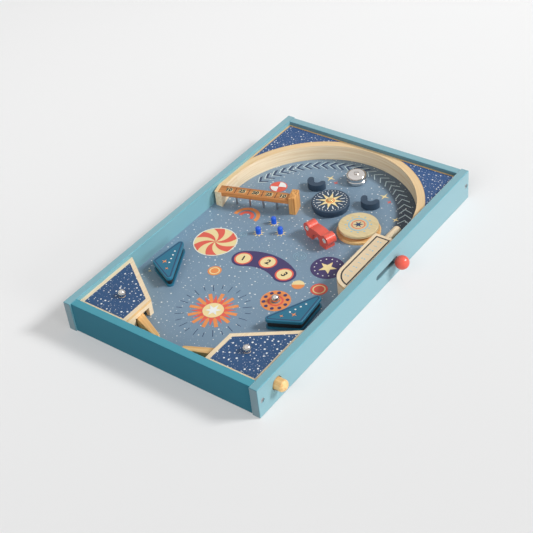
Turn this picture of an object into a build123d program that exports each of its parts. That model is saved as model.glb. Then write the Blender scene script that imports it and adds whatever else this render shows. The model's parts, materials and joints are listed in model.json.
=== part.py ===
"""Tabletop pinball game: an open wooden tray with a printed playfield, two flippers worked by side buttons,
a spring plunger, bumpers, a bell, a scoring bridge and three steel balls.

Millimetres. +Z is up, +Y points away from the player, +X to the player's right. The origin is the middle of
the tray's underside. Paired pieces are modelled on the right and mirrored for the left.
"""

import os
from math import cos, hypot, pi, radians, sin, sqrt

from build123d import *

# Tray
TRAY_WIDTH = 310.0
TRAY_LENGTH = 500.0
TRAY_HEIGHT = 46.0
PANEL_THICK = 12.0
END_RECESS = 2.0
EDGE_ROUND = 1.2
BOARD_TOP = 16.0
BOARD_THICK = 6.0
GROOVE_DEPTH = 5.0
GROOVE_CLEAR = 0.2

# Screws that hold the side panels to the end panels
SCREW_Z = 24.0
SCREW_SHANK = 4.0
SCREW_LENGTH = 30.0
SCREW_HEAD = 7.0
SCREW_HEAD_THICK = 1.8
SCREW_SINK = 2.4

# Clearances
RUNNING_CLEAR = 0.05
GLUE_CLEAR = 0.05
MOVING_CLEAR = 0.5
TENON_DEPTH = 4.0

# Covers, all at one level
COVER_TOP = 40.0
COVER_THICK = 4.0

# Bent arch rail at the back
ARCH_SHIFT = 3.0
ARCH_WALL_GAP = 4.0
ARCH_BACK_THICK = 5.0
ARCH_THICK = 10.5
ARCH_LEFT_REACH = 48.5
ARCH_RIGHT_START = 19.0
CORNER_BLOCK = 60.0

# Front covers with the flipper housings under them
COVER_INNER_X = 64.0
COVER_INNER_DEPTH = 53.0
COVER_WALL_DEPTH = 106.0
GUIDE_THICK = 6.0

# Flippers
PIVOT_X = 76.0
PIVOT_FROM_FRONT = 34.0
PIVOT_PIN = 5.0
FLIPPER_HEIGHT = 13.0
BLADE_LENGTH = 57.5
BLADE_ANGLE = 22.0
HUB_RADIUS = 6.5
TIP_RADIUS = 4.0
ARM_LENGTH = 11.0
ARM_WIDTH = 4.4
NOSE_RADIUS = 3.2
SWING = 40.0
SLOT_MARGIN = 2.0

# Flipper buttons
BUTTON_Z = 27.0
BUTTON = 16.0
BUTTON_HOLE = 18.5
BUTTON_OUT = 14.5
BUTTON_DOME = 5.0
SPINDLE = 7.0
STOP_PIN = 3.0
STOP_PIN_LENGTH = 25.0
BUTTON_SPRING_LENGTH = 24.0
BUTTON_SPRING = 11.0
BUTTON_SPRING_TURNS = 5
GUIDE_BLOCK_LENGTH = 14.0
GUIDE_BLOCK_WIDTH = 17.0
PUSH_GAP = 0.3

# Springs
WIRE = 1.2
WIRE_SIDES = 6
SPRING_SEAT_GAP = 0.1
COIL_STEPS = 36

# Plunger
ROD = 12.0
ROD_FROM_WALL = 19.0
ROD_Z = 25.5
ROD_TIP_FROM_ARCH = 20.0
ROD_OUT = 39.0
ROD_LENGTH = 65.0
ROD_TIP_ROUND = 5.0
PULL = 40.0
STEM = 6.0
STEM_FROM_TAIL = 5.0
STEM_DEPTH = 9.0
KNOB = 19.5
KNOB_GAP = 0.8
KNOB_SOCKET = 10.0
SLOT_HEIGHT = 8.0
SLOT_SPARE = 3.0
PLUNGER_SPRING = 9.0
PLUNGER_SPRING_LENGTH = 51.0
PLUNGER_SPRING_TURNS = 7
SPRING_SEAT_THICK = 6.0
LAUNCH_WIDTH = 31.0
LAUNCH_WALL = 5.0
LAUNCH_STRAIGHT = 84.0
LAUNCH_GUIDE_LENGTH = 13.0

# Slingshot bumpers: centres of the three rounded corners, from the side wall and the front panel
SLING_BACK = (30.0, 169.0)
SLING_OUTER = (26.0, 124.0)
SLING_INNER = (61.0, 108.0)
SLING_ROUND = 5.0
SLING_INSET = 2.0
SLING_BAND = 2.5
SLING_BASE_THICK = 3.0
SLING_BAND_HEIGHT = 8.0
SLING_PLATE_THICK = 4.5

# Spinning compass disc, placed from the spool beside it and the arch's centre
COMPASS_AT = (64.7, 26.0)
COMPASS_RADIUS = 27.3
COMPASS_THICK = 5.0
COMPASS_BASE_RADIUS = 25.5
COMPASS_BASE_HEIGHT = 6.0
COMPASS_AXLE = 4.0
COMPASS_CAP = 8.0
COMPASS_CAP_THICK = 1.8
COMPASS_GAP = 0.3

# Spool bumper, placed from the plunger's housing and the arch's centre
SPOOL_AT = (38.3, -2.0)
SPOOL_RADIUS = 27.8
SPOOL_BASE_RADIUS = 30.5
SPOOL_LAYER = 4.0
SPOOL_RING_RADIUS = 24.5
SPOOL_RING_THICK = 4.0

# Bell
BELL_AT = (3.5, 97.0)
BELL_RADIUS = 14.75
BELL_HEIGHT = 12.0
BELL_RIM_GAP = 1.5
BELL_SHOULDER = 4.0
BELL_WALL = 1.2
BELL_GROOVE = 0.6
BELL_POST = 9.0
BELL_SCREW = 3.5
BELL_SCREW_HEAD = 7.5
BELL_SCREW_HEAD_THICK = 1.8

# Crescent bumpers, open to the back, placed from the compass and the arch's centre
CRESCENTS_AT = {"left": (-45.0, 59.0), "right": (46.5, 58.0)}
CRESCENT_FACING = 270.0
CRESCENT_RADIUS = 10.0
CRESCENT_WIDTH = 8.5
CRESCENT_ARC = 170.0
CRESCENT_BASE_HEIGHT = 7.0
CRESCENT_CAP_THICK = 3.5

# Gate: a small bridge on two feet
GATE_AT = (35.5, -43.5)
GATE_TURN = -18.0
GATE_THICK = 15.0
GATE_HALF = 22.0
GATE_SHOULDER = 15.0
GATE_CROWN = 19.0
GATE_EAR_AT = (19.0, 13.5)
GATE_EAR = 16.0
GATE_EYE = 7.0
GATE_OPENING = 16.0
GATE_OPENING_HEIGHT = 12.0

# Three pegs
PEGS_AT = ((-48.0, -73.0), (-42.5, -44.0), (-21.2, -58.0))
PEG = 7.6
PEG_HEIGHT = 11.0
PEG_ROUND = 2.6
PEG_TENON = 5.0

# Scoring bridge, its line placed from the arch's left face and centre, and its post from that line
POST_AT = (106.5, -7.0)
POST_SHIFT = (-1.2, 3.4)
POST_THICK = 10.4
POST_WIDTH = 22.8
POST_HEIGHT = 28.0
POST_ROUND = 1.5
POST_CHAMFER = 0.8
BAR_TURN = 17.5
BAR_LENGTH = 107.0
BAR_WIDTH = 17.0
BAR_THICK = 6.0
BAR_SEAT = 4.0
LANES = 5
LANE_PITCH = 20.1
DIVIDER = 3.0

# Steel balls and the holes they rest in
BALL = 11.0
BALL_HOLE = 8.0
BALL_GAP = 0.05
TARGET_AT = (59.0, 151.5)
TARGET_DEPTH = 3.0
COVER_BALL_AT = (42.0, 39.0)

# Places worked out from the sizes above
IN_X = TRAY_WIDTH / 2 - PANEL_THICK
IN_Y = TRAY_LENGTH / 2 - END_RECESS - PANEL_THICK
BOARD_BOTTOM = BOARD_TOP - BOARD_THICK
COVER_BOTTOM = COVER_TOP - COVER_THICK
HOUSING_HEIGHT = COVER_BOTTOM - BOARD_TOP
ARCH_INNER = IN_X - ARCH_WALL_GAP
ARCH_Y = IN_Y - ARCH_BACK_THICK - ARCH_INNER
SCREW_Y = IN_Y + PANEL_THICK / 2
PIVOT = (PIVOT_X, PIVOT_FROM_FRONT - IN_Y)
FLIPPER_BOTTOM = BOARD_TOP + MOVING_CLEAR
BUTTON_Y = PIVOT[1] - ARM_LENGTH * cos(radians(SWING / 2))
ROD_X = IN_X - ROD_FROM_WALL
ROD_TIP_Y = ARCH_Y + ROD_TIP_FROM_ARCH
ROD_TAIL_Y = ROD_TIP_Y - ROD_LENGTH
STEM_Y = ROD_TAIL_Y + STEM_FROM_TAIL
LAUNCH_BACK_Y = ROD_TIP_Y - ROD_OUT
LAUNCH_BEND_Y = LAUNCH_BACK_Y - LAUNCH_STRAIGHT
BALL_RISE = sqrt((BALL / 2) ** 2 - (BALL_HOLE / 2) ** 2) + BALL_GAP

STANDING = (Align.CENTER, Align.CENTER, Align.MIN)
HANGING = (Align.CENTER, Align.CENTER, Align.MAX)
SIDES = ("left", "right")

os.makedirs("parts", exist_ok=True)


def save(builder, label):
    """Label a finished piece and write it as a STEP file of its own."""
    builder.part.label = label
    export_step(builder.part, f"parts/{label}.step")


def on_arch(place):
    """A place given from the arch's centre, as a point of the playfield."""
    return (ARCH_SHIFT + place[0], ARCH_Y + place[1])


def on_front(place):
    """A place given from the right wall and the front panel, as a point of the playfield."""
    return (IN_X - place[0], place[1] - IN_Y)


def facing_right(x, y, z):
    """A plane that faces +X, with its own x along Y."""
    return Plane((x, y, z), x_dir=(0, 1, 0), z_dir=(1, 0, 0))


def along_x(y, z):
    """A plane through a line along X, for profiles that turn about that line."""
    return Plane((0, y, z), x_dir=(1, 0, 0), z_dir=(0, -1, 0))


def cap_radius(half_width, rise):
    """Radius of the ball whose cap has this half width and rise."""
    return (half_width**2 + rise**2) / (2 * rise)


def coil_spring(foot, direction, length, diameter, turns):
    """A wound spring that stands on its foot, swept along a biarc for each half turn of its helix."""
    seat = Plane(foot, z_dir=direction)
    pitch = (length - WIRE - 2 * SPRING_SEAT_GAP) / turns
    radius = diameter / 2

    def at(turn):
        """The coil's point after this many turns, and the way the wire runs there."""
        angle = 2 * pi * turn
        height = WIRE / 2 + SPRING_SEAT_GAP + pitch * turn
        point = seat.from_local_coords((radius * cos(angle), radius * sin(angle), height))
        run = Vector(-2 * pi * radius * sin(angle), 2 * pi * radius * cos(angle), pitch).normalized()
        return point, seat.from_local_coords(run) - seat.origin

    with BuildPart() as spring:
        with BuildLine() as wire:
            for half in range(2 * turns):
                start, out = at(half / 2)
                end, home = at((half + 1) / 2)
                chord = end - start
                lean = chord.dot(out + home)
                bend = 2 * (1 - out.dot(home))
                reach = (sqrt(lean**2 + bend * chord.dot(chord)) - lean) / bend
                start_corner = start + out * reach
                end_corner = end - home * reach
                middle = (start_corner + end_corner) * 0.5
                TangentArc(start, middle, tangent=out)
                TangentArc(middle, end, tangent=end_corner - start_corner)
        with BuildSketch(Plane(at(0)[0], z_dir=at(0)[1])):
            RegularPolygon(WIRE / 2, WIRE_SIDES)
        sweep(clean=False)

    points = [at(step / COIL_STEPS)[0] for step in range(COIL_STEPS * turns + 1)]
    apart = [
        (points[low] - points[high]).length
        for low in range(len(points))
        for high in range(low + COIL_STEPS // 2, len(points))
    ]
    print(f"least gap between turns {min(apart) - WIRE:.2f} mm")
    return spring


# Side panels, with the grooves for the playfield, the screw holes, the button holes and the plunger's slot
SLOT_LENGTH = PULL + STEM + 2 * SLOT_SPARE
SLOT_MIDDLE_Y = STEM_Y - PULL / 2
for side in SIDES:
    with BuildPart() as panel:
        with Locations((IN_X + PANEL_THICK / 2, 0, 0)):
            Box(PANEL_THICK, TRAY_LENGTH, TRAY_HEIGHT, align=STANDING)
        fillet(panel.edges(), EDGE_ROUND)
        with Locations((IN_X, 0, BOARD_BOTTOM)):
            Box(2 * GROOVE_DEPTH, 2 * (IN_Y + GROOVE_DEPTH), BOARD_THICK, align=STANDING, mode=Mode.SUBTRACT)
        with Locations(*[facing_right(TRAY_WIDTH / 2, y, SCREW_Z) for y in (-SCREW_Y, SCREW_Y)]):
            CounterBoreHole(SCREW_SHANK / 2 + GLUE_CLEAR, SCREW_HEAD / 2 + GLUE_CLEAR, SCREW_SINK)
        with Locations(facing_right(TRAY_WIDTH / 2, BUTTON_Y, BUTTON_Z)):
            Hole(BUTTON_HOLE / 2)
        if side == "right":
            with BuildSketch(facing_right(IN_X, SLOT_MIDDLE_Y, ROD_Z)):
                SlotOverall(SLOT_LENGTH, SLOT_HEIGHT)
            extrude(amount=PANEL_THICK, mode=Mode.SUBTRACT)
        else:
            mirror(about=Plane.YZ, mode=Mode.REPLACE)
    save(panel, f"{side}_panel")

# End panels between the side panels
PILOT_DEPTH = SCREW_LENGTH - (PANEL_THICK - SCREW_SINK) + GLUE_CLEAR
for end, sign in (("front", -1), ("back", 1)):
    with BuildPart() as panel:
        with Locations((0, sign * (IN_Y + PANEL_THICK / 2), 0)):
            Box(2 * IN_X, PANEL_THICK, TRAY_HEIGHT, align=STANDING)
        fillet(panel.edges().filter_by(Axis.X), EDGE_ROUND)
        with Locations((0, sign * IN_Y, BOARD_BOTTOM)):
            Box(2 * IN_X, 2 * GROOVE_DEPTH, BOARD_THICK, align=STANDING, mode=Mode.SUBTRACT)
        with Locations(facing_right(IN_X, sign * SCREW_Y, SCREW_Z)):
            Hole(SCREW_SHANK / 2 + GLUE_CLEAR, depth=PILOT_DEPTH)
        with Locations(Plane((-IN_X, sign * SCREW_Y, SCREW_Z), z_dir=(-1, 0, 0))):
            Hole(SCREW_SHANK / 2 + GLUE_CLEAR, depth=PILOT_DEPTH)
    save(panel, f"{end}_panel")

# Frame screws, heads sunk in the side panels
with BuildPart() as frame_screws:
    HEAD_SEAT = TRAY_WIDTH / 2 - SCREW_SINK
    with Locations(*[facing_right(HEAD_SEAT, y, SCREW_Z) for y in (-SCREW_Y, SCREW_Y)]):
        Cylinder(SCREW_HEAD / 2, SCREW_HEAD_THICK, align=STANDING)
        Cylinder(SCREW_SHANK / 2, SCREW_LENGTH, align=HANGING)
    mirror(about=Plane.YZ)
save(frame_screws, "frame_screws")

# Places of the pieces that keep a way for the ball beside their neighbours
POST_XY = (ARCH_SHIFT - ARCH_INNER + POST_AT[0], ARCH_Y + POST_AT[1])
SPOOL_XY = (IN_X - LAUNCH_WIDTH - SPOOL_AT[0], ARCH_Y + SPOOL_AT[1])
COMPASS_XY = (SPOOL_XY[0] - COMPASS_AT[0], ARCH_Y + COMPASS_AT[1])

# Playfield board, let into the grooves
LANE_RUN = (cos(radians(BAR_TURN)), sin(radians(BAR_TURN)), 0)
LANE_PLANE = Plane((*POST_XY, COVER_TOP), x_dir=LANE_RUN)
POST_FACE = POST_SHIFT[0] - POST_THICK / 2
LANE_EDGES = [(POST_FACE - LANE_PITCH * k, 0) for k in range(1, LANES)]
DIVIDERS_AT = [LANE_PLANE.from_local_coords((*edge, BOARD_TOP - COVER_TOP)) for edge in LANE_EDGES]
with BuildPart() as playfield:
    with Locations((0, 0, BOARD_BOTTOM)):
        HALF_X = IN_X + GROOVE_DEPTH - GROOVE_CLEAR
        HALF_Y = IN_Y + GROOVE_DEPTH - GROOVE_CLEAR
        Box(2 * HALF_X, 2 * HALF_Y, BOARD_THICK, align=STANDING)
    with Locations((PIVOT[0], PIVOT[1], BOARD_TOP), (-PIVOT[0], PIVOT[1], BOARD_TOP)):
        Hole(PIVOT_PIN / 2 + GLUE_CLEAR, depth=TENON_DEPTH)
    with Locations((*COMPASS_XY, BOARD_TOP)):
        Hole(COMPASS_AXLE / 2 + GLUE_CLEAR, depth=TENON_DEPTH)
    with Locations((*on_arch(BELL_AT), BOARD_TOP)):
        Hole(BELL_SCREW / 2 + GLUE_CLEAR, depth=TENON_DEPTH)
    with Locations(*[(*on_arch(at), BOARD_TOP) for at in PEGS_AT]):
        Hole(PEG_TENON / 2 + GLUE_CLEAR, depth=TENON_DEPTH)
    with Locations(*DIVIDERS_AT):
        Hole(DIVIDER / 2 + GLUE_CLEAR, depth=TENON_DEPTH)
    with Locations((TARGET_AT[0], TARGET_AT[1] - IN_Y, BOARD_TOP)):
        Hole(BALL_HOLE / 2, depth=TARGET_DEPTH)
save(playfield, "playfield")

# Arch rail: a ring trimmed by the tray's walls, notched for the scoring bar
BAR_SLOT_LEFT = -BAR_LENGTH - BAR_SEAT
ARCH_LEFT_Y = ARCH_Y - ARCH_LEFT_REACH
with BuildPart() as arch_rail:
    with BuildSketch(Plane.XY.offset(BOARD_TOP)):
        with Locations((ARCH_SHIFT, ARCH_Y)):
            Circle(ARCH_INNER + ARCH_THICK)
            Circle(ARCH_INNER, mode=Mode.SUBTRACT)
        with Locations((0, (ARCH_LEFT_Y + IN_Y) / 2)):
            Rectangle(2 * IN_X, IN_Y - ARCH_LEFT_Y, mode=Mode.INTERSECT)
        with Locations((IN_X / 2, (ARCH_LEFT_Y + ARCH_Y + ARCH_RIGHT_START) / 2)):
            Rectangle(IN_X, ARCH_LEFT_REACH + ARCH_RIGHT_START, mode=Mode.SUBTRACT)
    extrude(amount=COVER_TOP - BOARD_TOP)
    with BuildSketch(LANE_PLANE):
        with Locations((BAR_SLOT_LEFT / 2, 0)):
            Rectangle(-BAR_SLOT_LEFT, BAR_WIDTH)
    extrude(amount=-BAR_THICK, mode=Mode.SUBTRACT)
save(arch_rail, "arch_rail")

# Corner boards behind the arch, each on a corner block
for side, sign in (("left", -1), ("right", 1)):
    with BuildPart() as board:
        with BuildSketch(Plane.XY.offset(COVER_BOTTOM)):
            with Locations(((sign * IN_X + ARCH_SHIFT) / 2, (ARCH_Y + IN_Y) / 2)):
                Rectangle(IN_X - sign * ARCH_SHIFT, IN_Y - ARCH_Y)
            with Locations((ARCH_SHIFT, ARCH_Y)):
                Circle(ARCH_INNER + ARCH_THICK + GLUE_CLEAR, mode=Mode.SUBTRACT)
        extrude(amount=COVER_THICK)
    save(board, f"back_{side}_board")

with BuildPart() as corner_blocks:
    with BuildSketch(Plane.XY.offset(BOARD_TOP)):
        Polygon((IN_X, IN_Y), (IN_X - CORNER_BLOCK, IN_Y), (IN_X, IN_Y - CORNER_BLOCK))
    extrude(amount=HOUSING_HEIGHT)
    mirror(about=Plane.YZ)
save(corner_blocks, "corner_blocks")

# Front covers: four-sided plates with a hole for a ball
WALL_CORNER = (IN_X, COVER_WALL_DEPTH - IN_Y)
INNER_CORNER = (COVER_INNER_X, COVER_INNER_DEPTH - IN_Y)
for side in SIDES:
    with BuildPart() as cover:
        with BuildSketch(Plane.XY.offset(COVER_BOTTOM)):
            Polygon(WALL_CORNER, INNER_CORNER, (COVER_INNER_X, -IN_Y), (IN_X, -IN_Y))
        extrude(amount=COVER_THICK)
        with Locations((*on_front(COVER_BALL_AT), COVER_TOP)):
            Hole(BALL_HOLE / 2)
        if side == "left":
            mirror(about=Plane.YZ, mode=Mode.REPLACE)
    save(cover, f"{side}_cover")

# Guide walls under the covers' free edges, with a slot for the flipper
GUIDE_SLOPE = (WALL_CORNER[1] - INNER_CORNER[1]) / (WALL_CORNER[0] - INNER_CORNER[0])
GUIDE_DROP = GUIDE_THICK * hypot(1, GUIDE_SLOPE)
GUIDE_BEND = (COVER_INNER_X + GUIDE_THICK, INNER_CORNER[1] + GUIDE_SLOPE * GUIDE_THICK - GUIDE_DROP)
PIVOT_TO_FACE = PIVOT_X - COVER_INNER_X
SLOT_LOW = PIVOT_TO_FACE * sin(radians(BLADE_ANGLE)) / cos(radians(BLADE_ANGLE)) + HUB_RADIUS + SLOT_MARGIN
UP_ANGLE = radians(SWING - BLADE_ANGLE)
SLOT_HIGH = PIVOT_TO_FACE * sin(UP_ANGLE) / cos(UP_ANGLE) + HUB_RADIUS + SLOT_MARGIN
for side in SIDES:
    with BuildPart() as guide:
        with BuildSketch(Plane.XY.offset(BOARD_TOP)):
            Polygon(
                WALL_CORNER,
                INNER_CORNER,
                (COVER_INNER_X, -IN_Y),
                (COVER_INNER_X + GUIDE_THICK, -IN_Y),
                GUIDE_BEND,
                (IN_X, WALL_CORNER[1] - GUIDE_DROP),
            )
        extrude(amount=HOUSING_HEIGHT)
        with Locations((COVER_INNER_X, PIVOT[1] + (SLOT_HIGH - SLOT_LOW) / 2, BOARD_TOP)):
            Box(
                2 * GUIDE_THICK + MOVING_CLEAR,
                SLOT_LOW + SLOT_HIGH,
                FLIPPER_HEIGHT + 2 * MOVING_CLEAR,
                align=STANDING,
                mode=Mode.SUBTRACT,
            )
        if side == "left":
            mirror(about=Plane.YZ, mode=Mode.REPLACE)
    save(guide, f"{side}_guide_wall")

# Flippers: a blade that tapers to its tip, and a short arm that the button's spindle pushes
BLADE_TIP = (
    PIVOT[0] - BLADE_LENGTH * cos(radians(BLADE_ANGLE)),
    PIVOT[1] - BLADE_LENGTH * sin(radians(BLADE_ANGLE)),
)
NOSE = (PIVOT[0] + ARM_LENGTH * sin(radians(SWING / 2)), PIVOT[1] - ARM_LENGTH * cos(radians(SWING / 2)))
for side in SIDES:
    with BuildPart() as flipper:
        with BuildSketch(Plane.XY.offset(FLIPPER_BOTTOM)):
            with Locations(PIVOT):
                Circle(HUB_RADIUS)
            with Locations(BLADE_TIP):
                Circle(TIP_RADIUS)
            make_hull()
        extrude(amount=FLIPPER_HEIGHT)
        fillet(flipper.faces().sort_by(Axis.Z)[-1].edges(), EDGE_ROUND)
        with BuildSketch(Plane.XY.offset(FLIPPER_BOTTOM)):
            with Locations(PIVOT, NOSE):
                Circle(ARM_WIDTH / 2)
            make_hull()
            with Locations(NOSE):
                Circle(NOSE_RADIUS)
        extrude(amount=FLIPPER_HEIGHT)
        with Locations((*PIVOT, FLIPPER_BOTTOM + FLIPPER_HEIGHT)):
            Hole(PIVOT_PIN / 2 + RUNNING_CLEAR)
        if side == "left":
            mirror(about=Plane.YZ, mode=Mode.REPLACE)
    save(flipper, f"{side}_flipper")

with BuildPart() as flipper_pins:
    with Locations((*PIVOT, BOARD_TOP - TENON_DEPTH)):
        Cylinder(PIVOT_PIN / 2, TENON_DEPTH + HOUSING_HEIGHT, align=STANDING)
    mirror(about=Plane.YZ)
save(flipper_pins, "flipper_pins")

# Flipper buttons: a domed button on a thin spindle, turned in one piece
SPINDLE_END_X = NOSE[0] + NOSE_RADIUS + PUSH_GAP
STOP_PIN_X = IN_X - STOP_PIN / 2 - MOVING_CLEAR
SHOULDER_X = STOP_PIN_X - STOP_PIN - MOVING_CLEAR
BUTTON_END_X = TRAY_WIDTH / 2 + BUTTON_OUT
SPRING_FOOT_X = SHOULDER_X - BUTTON_SPRING_LENGTH
BUTTON_LINE = along_x(BUTTON_Y, BUTTON_Z)
for side in SIDES:
    with BuildPart() as button:
        with BuildSketch(BUTTON_LINE):
            with BuildLine():
                Line((BUTTON_END_X, 0), (SPINDLE_END_X, 0))
                RadiusArc((SPINDLE_END_X, 0), (SPINDLE_END_X + SPINDLE / 2, SPINDLE / 2), SPINDLE / 2)
                Polyline(
                    (SPINDLE_END_X + SPINDLE / 2, SPINDLE / 2),
                    (SHOULDER_X, SPINDLE / 2),
                    (SHOULDER_X, BUTTON / 2),
                    (BUTTON_END_X - BUTTON_DOME, BUTTON / 2),
                )
                RadiusArc(
                    (BUTTON_END_X - BUTTON_DOME, BUTTON / 2),
                    (BUTTON_END_X, 0),
                    cap_radius(BUTTON / 2, BUTTON_DOME),
                )
            make_face()
        revolve(axis=Axis((0, BUTTON_Y, BUTTON_Z), (1, 0, 0)))
        with Locations(Plane((STOP_PIN_X, BUTTON_Y, BUTTON_Z), z_dir=(0, 1, 0))):
            Cylinder(STOP_PIN / 2 + GLUE_CLEAR, STOP_PIN_LENGTH, mode=Mode.SUBTRACT)
        if side == "left":
            mirror(about=Plane.YZ, mode=Mode.REPLACE)
    save(button, f"{side}_button")

    with BuildPart() as stop_pin:
        with Locations(Plane((STOP_PIN_X, BUTTON_Y, BUTTON_Z), z_dir=(0, 1, 0))):
            Cylinder(STOP_PIN / 2, STOP_PIN_LENGTH)
        if side == "left":
            mirror(about=Plane.YZ, mode=Mode.REPLACE)
    save(stop_pin, f"{side}_stop_pin")

    sign = 1 if side == "right" else -1
    foot = (sign * SPRING_FOOT_X, BUTTON_Y, BUTTON_Z)
    spring = coil_spring(foot, (sign, 0, 0), BUTTON_SPRING_LENGTH, BUTTON_SPRING, BUTTON_SPRING_TURNS)
    save(spring, f"{side}_button_spring")

with BuildPart() as button_guides:
    with Locations((SPRING_FOOT_X - GUIDE_BLOCK_LENGTH / 2, BUTTON_Y, BOARD_TOP)):
        Box(GUIDE_BLOCK_LENGTH, GUIDE_BLOCK_WIDTH, HOUSING_HEIGHT, align=STANDING)
    with Locations(facing_right(SPRING_FOOT_X, BUTTON_Y, BUTTON_Z)):
        Hole(SPINDLE / 2 + RUNNING_CLEAR)
    mirror(about=Plane.YZ)
save(button_guides, "button_guides")

# Plunger housing: a wall that bends round to the side panel, its cover, and the rod's guide at the open end
LAUNCH_X = IN_X - LAUNCH_WIDTH
LAUNCH_INNER = LAUNCH_WIDTH - LAUNCH_WALL
BEND_CENTRE = (IN_X, LAUNCH_BEND_Y)
with BuildPart() as launcher_wall:
    with BuildSketch(Plane.XY.offset(BOARD_TOP)):
        with BuildLine():
            Line((LAUNCH_X, LAUNCH_BEND_Y), (LAUNCH_X, LAUNCH_BACK_Y))
            Line((LAUNCH_X, LAUNCH_BACK_Y), (LAUNCH_X + LAUNCH_WALL, LAUNCH_BACK_Y))
            Line((LAUNCH_X + LAUNCH_WALL, LAUNCH_BACK_Y), (LAUNCH_X + LAUNCH_WALL, LAUNCH_BEND_Y))
            CenterArc(BEND_CENTRE, LAUNCH_INNER, 180, 90)
            Line((IN_X, LAUNCH_BEND_Y - LAUNCH_INNER), (IN_X, LAUNCH_BEND_Y - LAUNCH_WIDTH))
            CenterArc(BEND_CENTRE, LAUNCH_WIDTH, 180, 90)
        make_face()
    extrude(amount=HOUSING_HEIGHT)
save(launcher_wall, "launcher_wall")

with BuildPart() as launcher_cover:
    with BuildSketch(Plane.XY.offset(COVER_BOTTOM)):
        with BuildLine():
            Polyline((LAUNCH_X, LAUNCH_BEND_Y), (LAUNCH_X, LAUNCH_BACK_Y), (IN_X, LAUNCH_BACK_Y))
            Line((IN_X, LAUNCH_BACK_Y), (IN_X, LAUNCH_BEND_Y - LAUNCH_WIDTH))
            CenterArc(BEND_CENTRE, LAUNCH_WIDTH, 180, 90)
        make_face()
    extrude(amount=COVER_THICK)
    fillet(launcher_cover.faces().sort_by(Axis.Z)[-1].edges(), EDGE_ROUND / 2)
save(launcher_cover, "launcher_cover")

ROD_LINE = Plane((ROD_X, LAUNCH_BACK_Y, ROD_Z), z_dir=(0, 1, 0))
with BuildPart() as launcher_guide:
    with Locations((IN_X - LAUNCH_INNER / 2, LAUNCH_BACK_Y - LAUNCH_GUIDE_LENGTH / 2, BOARD_TOP)):
        Box(LAUNCH_INNER, LAUNCH_GUIDE_LENGTH, HOUSING_HEIGHT, align=STANDING)
    with Locations(ROD_LINE):
        Hole(ROD / 2 + RUNNING_CLEAR)
save(launcher_guide, "launcher_guide")

SEAT_Y = ROD_TAIL_Y - PLUNGER_SPRING_LENGTH
with BuildPart() as spring_seat:
    with Locations((ROD_X, SEAT_Y - SPRING_SEAT_THICK / 2, BOARD_TOP)):
        Box(ROD, SPRING_SEAT_THICK, HOUSING_HEIGHT, align=STANDING)
save(spring_seat, "spring_seat")

# Plunger: rod with a rounded tip, stem through the slot, ball knob, and the spring behind the rod
with BuildPart() as plunger_rod:
    with Locations(Plane((ROD_X, ROD_TAIL_Y, ROD_Z), z_dir=(0, 1, 0))):
        Cylinder(ROD / 2, ROD_LENGTH, align=STANDING)
    fillet(plunger_rod.edges().sort_by(Axis.Y)[-1], ROD_TIP_ROUND)
    with Locations(facing_right(ROD_X + ROD / 2, STEM_Y, ROD_Z)):
        Hole(STEM / 2 + GLUE_CLEAR, depth=STEM_DEPTH)
save(plunger_rod, "plunger_rod")

KNOB_X = TRAY_WIDTH / 2 + KNOB_GAP + KNOB / 2
STEM_FOOT_X = ROD_X + ROD / 2 - STEM_DEPTH
STEM_END_X = KNOB_X - KNOB / 2 + KNOB_SOCKET
with BuildPart() as knob_stem:
    with Locations(facing_right(STEM_FOOT_X, STEM_Y, ROD_Z)):
        Cylinder(STEM / 2, STEM_END_X - STEM_FOOT_X, align=STANDING)
save(knob_stem, "knob_stem")

with BuildPart() as launch_knob:
    with Locations((KNOB_X, STEM_Y, ROD_Z)):
        Sphere(KNOB / 2)
    with Locations(facing_right(STEM_END_X, STEM_Y, ROD_Z)):
        Cylinder(STEM / 2 + GLUE_CLEAR, KNOB_SOCKET, align=HANGING, mode=Mode.SUBTRACT)
save(launch_knob, "launch_knob")

plunger_spring = coil_spring(
    (ROD_X, SEAT_Y, ROD_Z), (0, 1, 0), PLUNGER_SPRING_LENGTH, PLUNGER_SPRING, PLUNGER_SPRING_TURNS
)
save(plunger_spring, "plunger_spring")

# Slingshot bumpers: a stepped base, a rubber band round its core, and a plate on top
SLING_CORNERS = [on_front(corner) for corner in (SLING_BACK, SLING_OUTER, SLING_INNER)]
SLING_BAND_Z = BOARD_TOP + SLING_BASE_THICK
SLING_PLATE_Z = SLING_BAND_Z + SLING_BAND_HEIGHT
for side in SIDES:
    with BuildPart() as sling_base:
        with BuildSketch(Plane.XY.offset(BOARD_TOP)):
            Polygon(*SLING_CORNERS)
            offset(amount=SLING_ROUND)
        extrude(amount=SLING_BASE_THICK)
        with BuildSketch(Plane.XY.offset(SLING_BAND_Z)):
            Polygon(*SLING_CORNERS)
            offset(amount=SLING_ROUND - SLING_INSET - SLING_BAND)
        extrude(amount=SLING_BAND_HEIGHT)
        if side == "left":
            mirror(about=Plane.YZ, mode=Mode.REPLACE)
    save(sling_base, f"{side}_sling_base")

    with BuildPart() as sling_band:
        with BuildSketch(Plane.XY.offset(SLING_BAND_Z)) as band_ring:
            Polygon(*SLING_CORNERS)
            offset(amount=SLING_ROUND - SLING_INSET)
            offset(band_ring.faces(), amount=-SLING_BAND, mode=Mode.SUBTRACT)
        extrude(amount=SLING_BAND_HEIGHT)
        if side == "left":
            mirror(about=Plane.YZ, mode=Mode.REPLACE)
    save(sling_band, f"{side}_sling_band")

    with BuildPart() as sling_plate:
        with BuildSketch(Plane.XY.offset(SLING_PLATE_Z)):
            Polygon(*SLING_CORNERS)
            offset(amount=SLING_ROUND)
        extrude(amount=SLING_PLATE_THICK)
        fillet(sling_plate.faces().sort_by(Axis.Z)[-1].edges(), EDGE_ROUND)
        if side == "left":
            mirror(about=Plane.YZ, mode=Mode.REPLACE)
    save(sling_plate, f"{side}_sling_plate")

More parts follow.
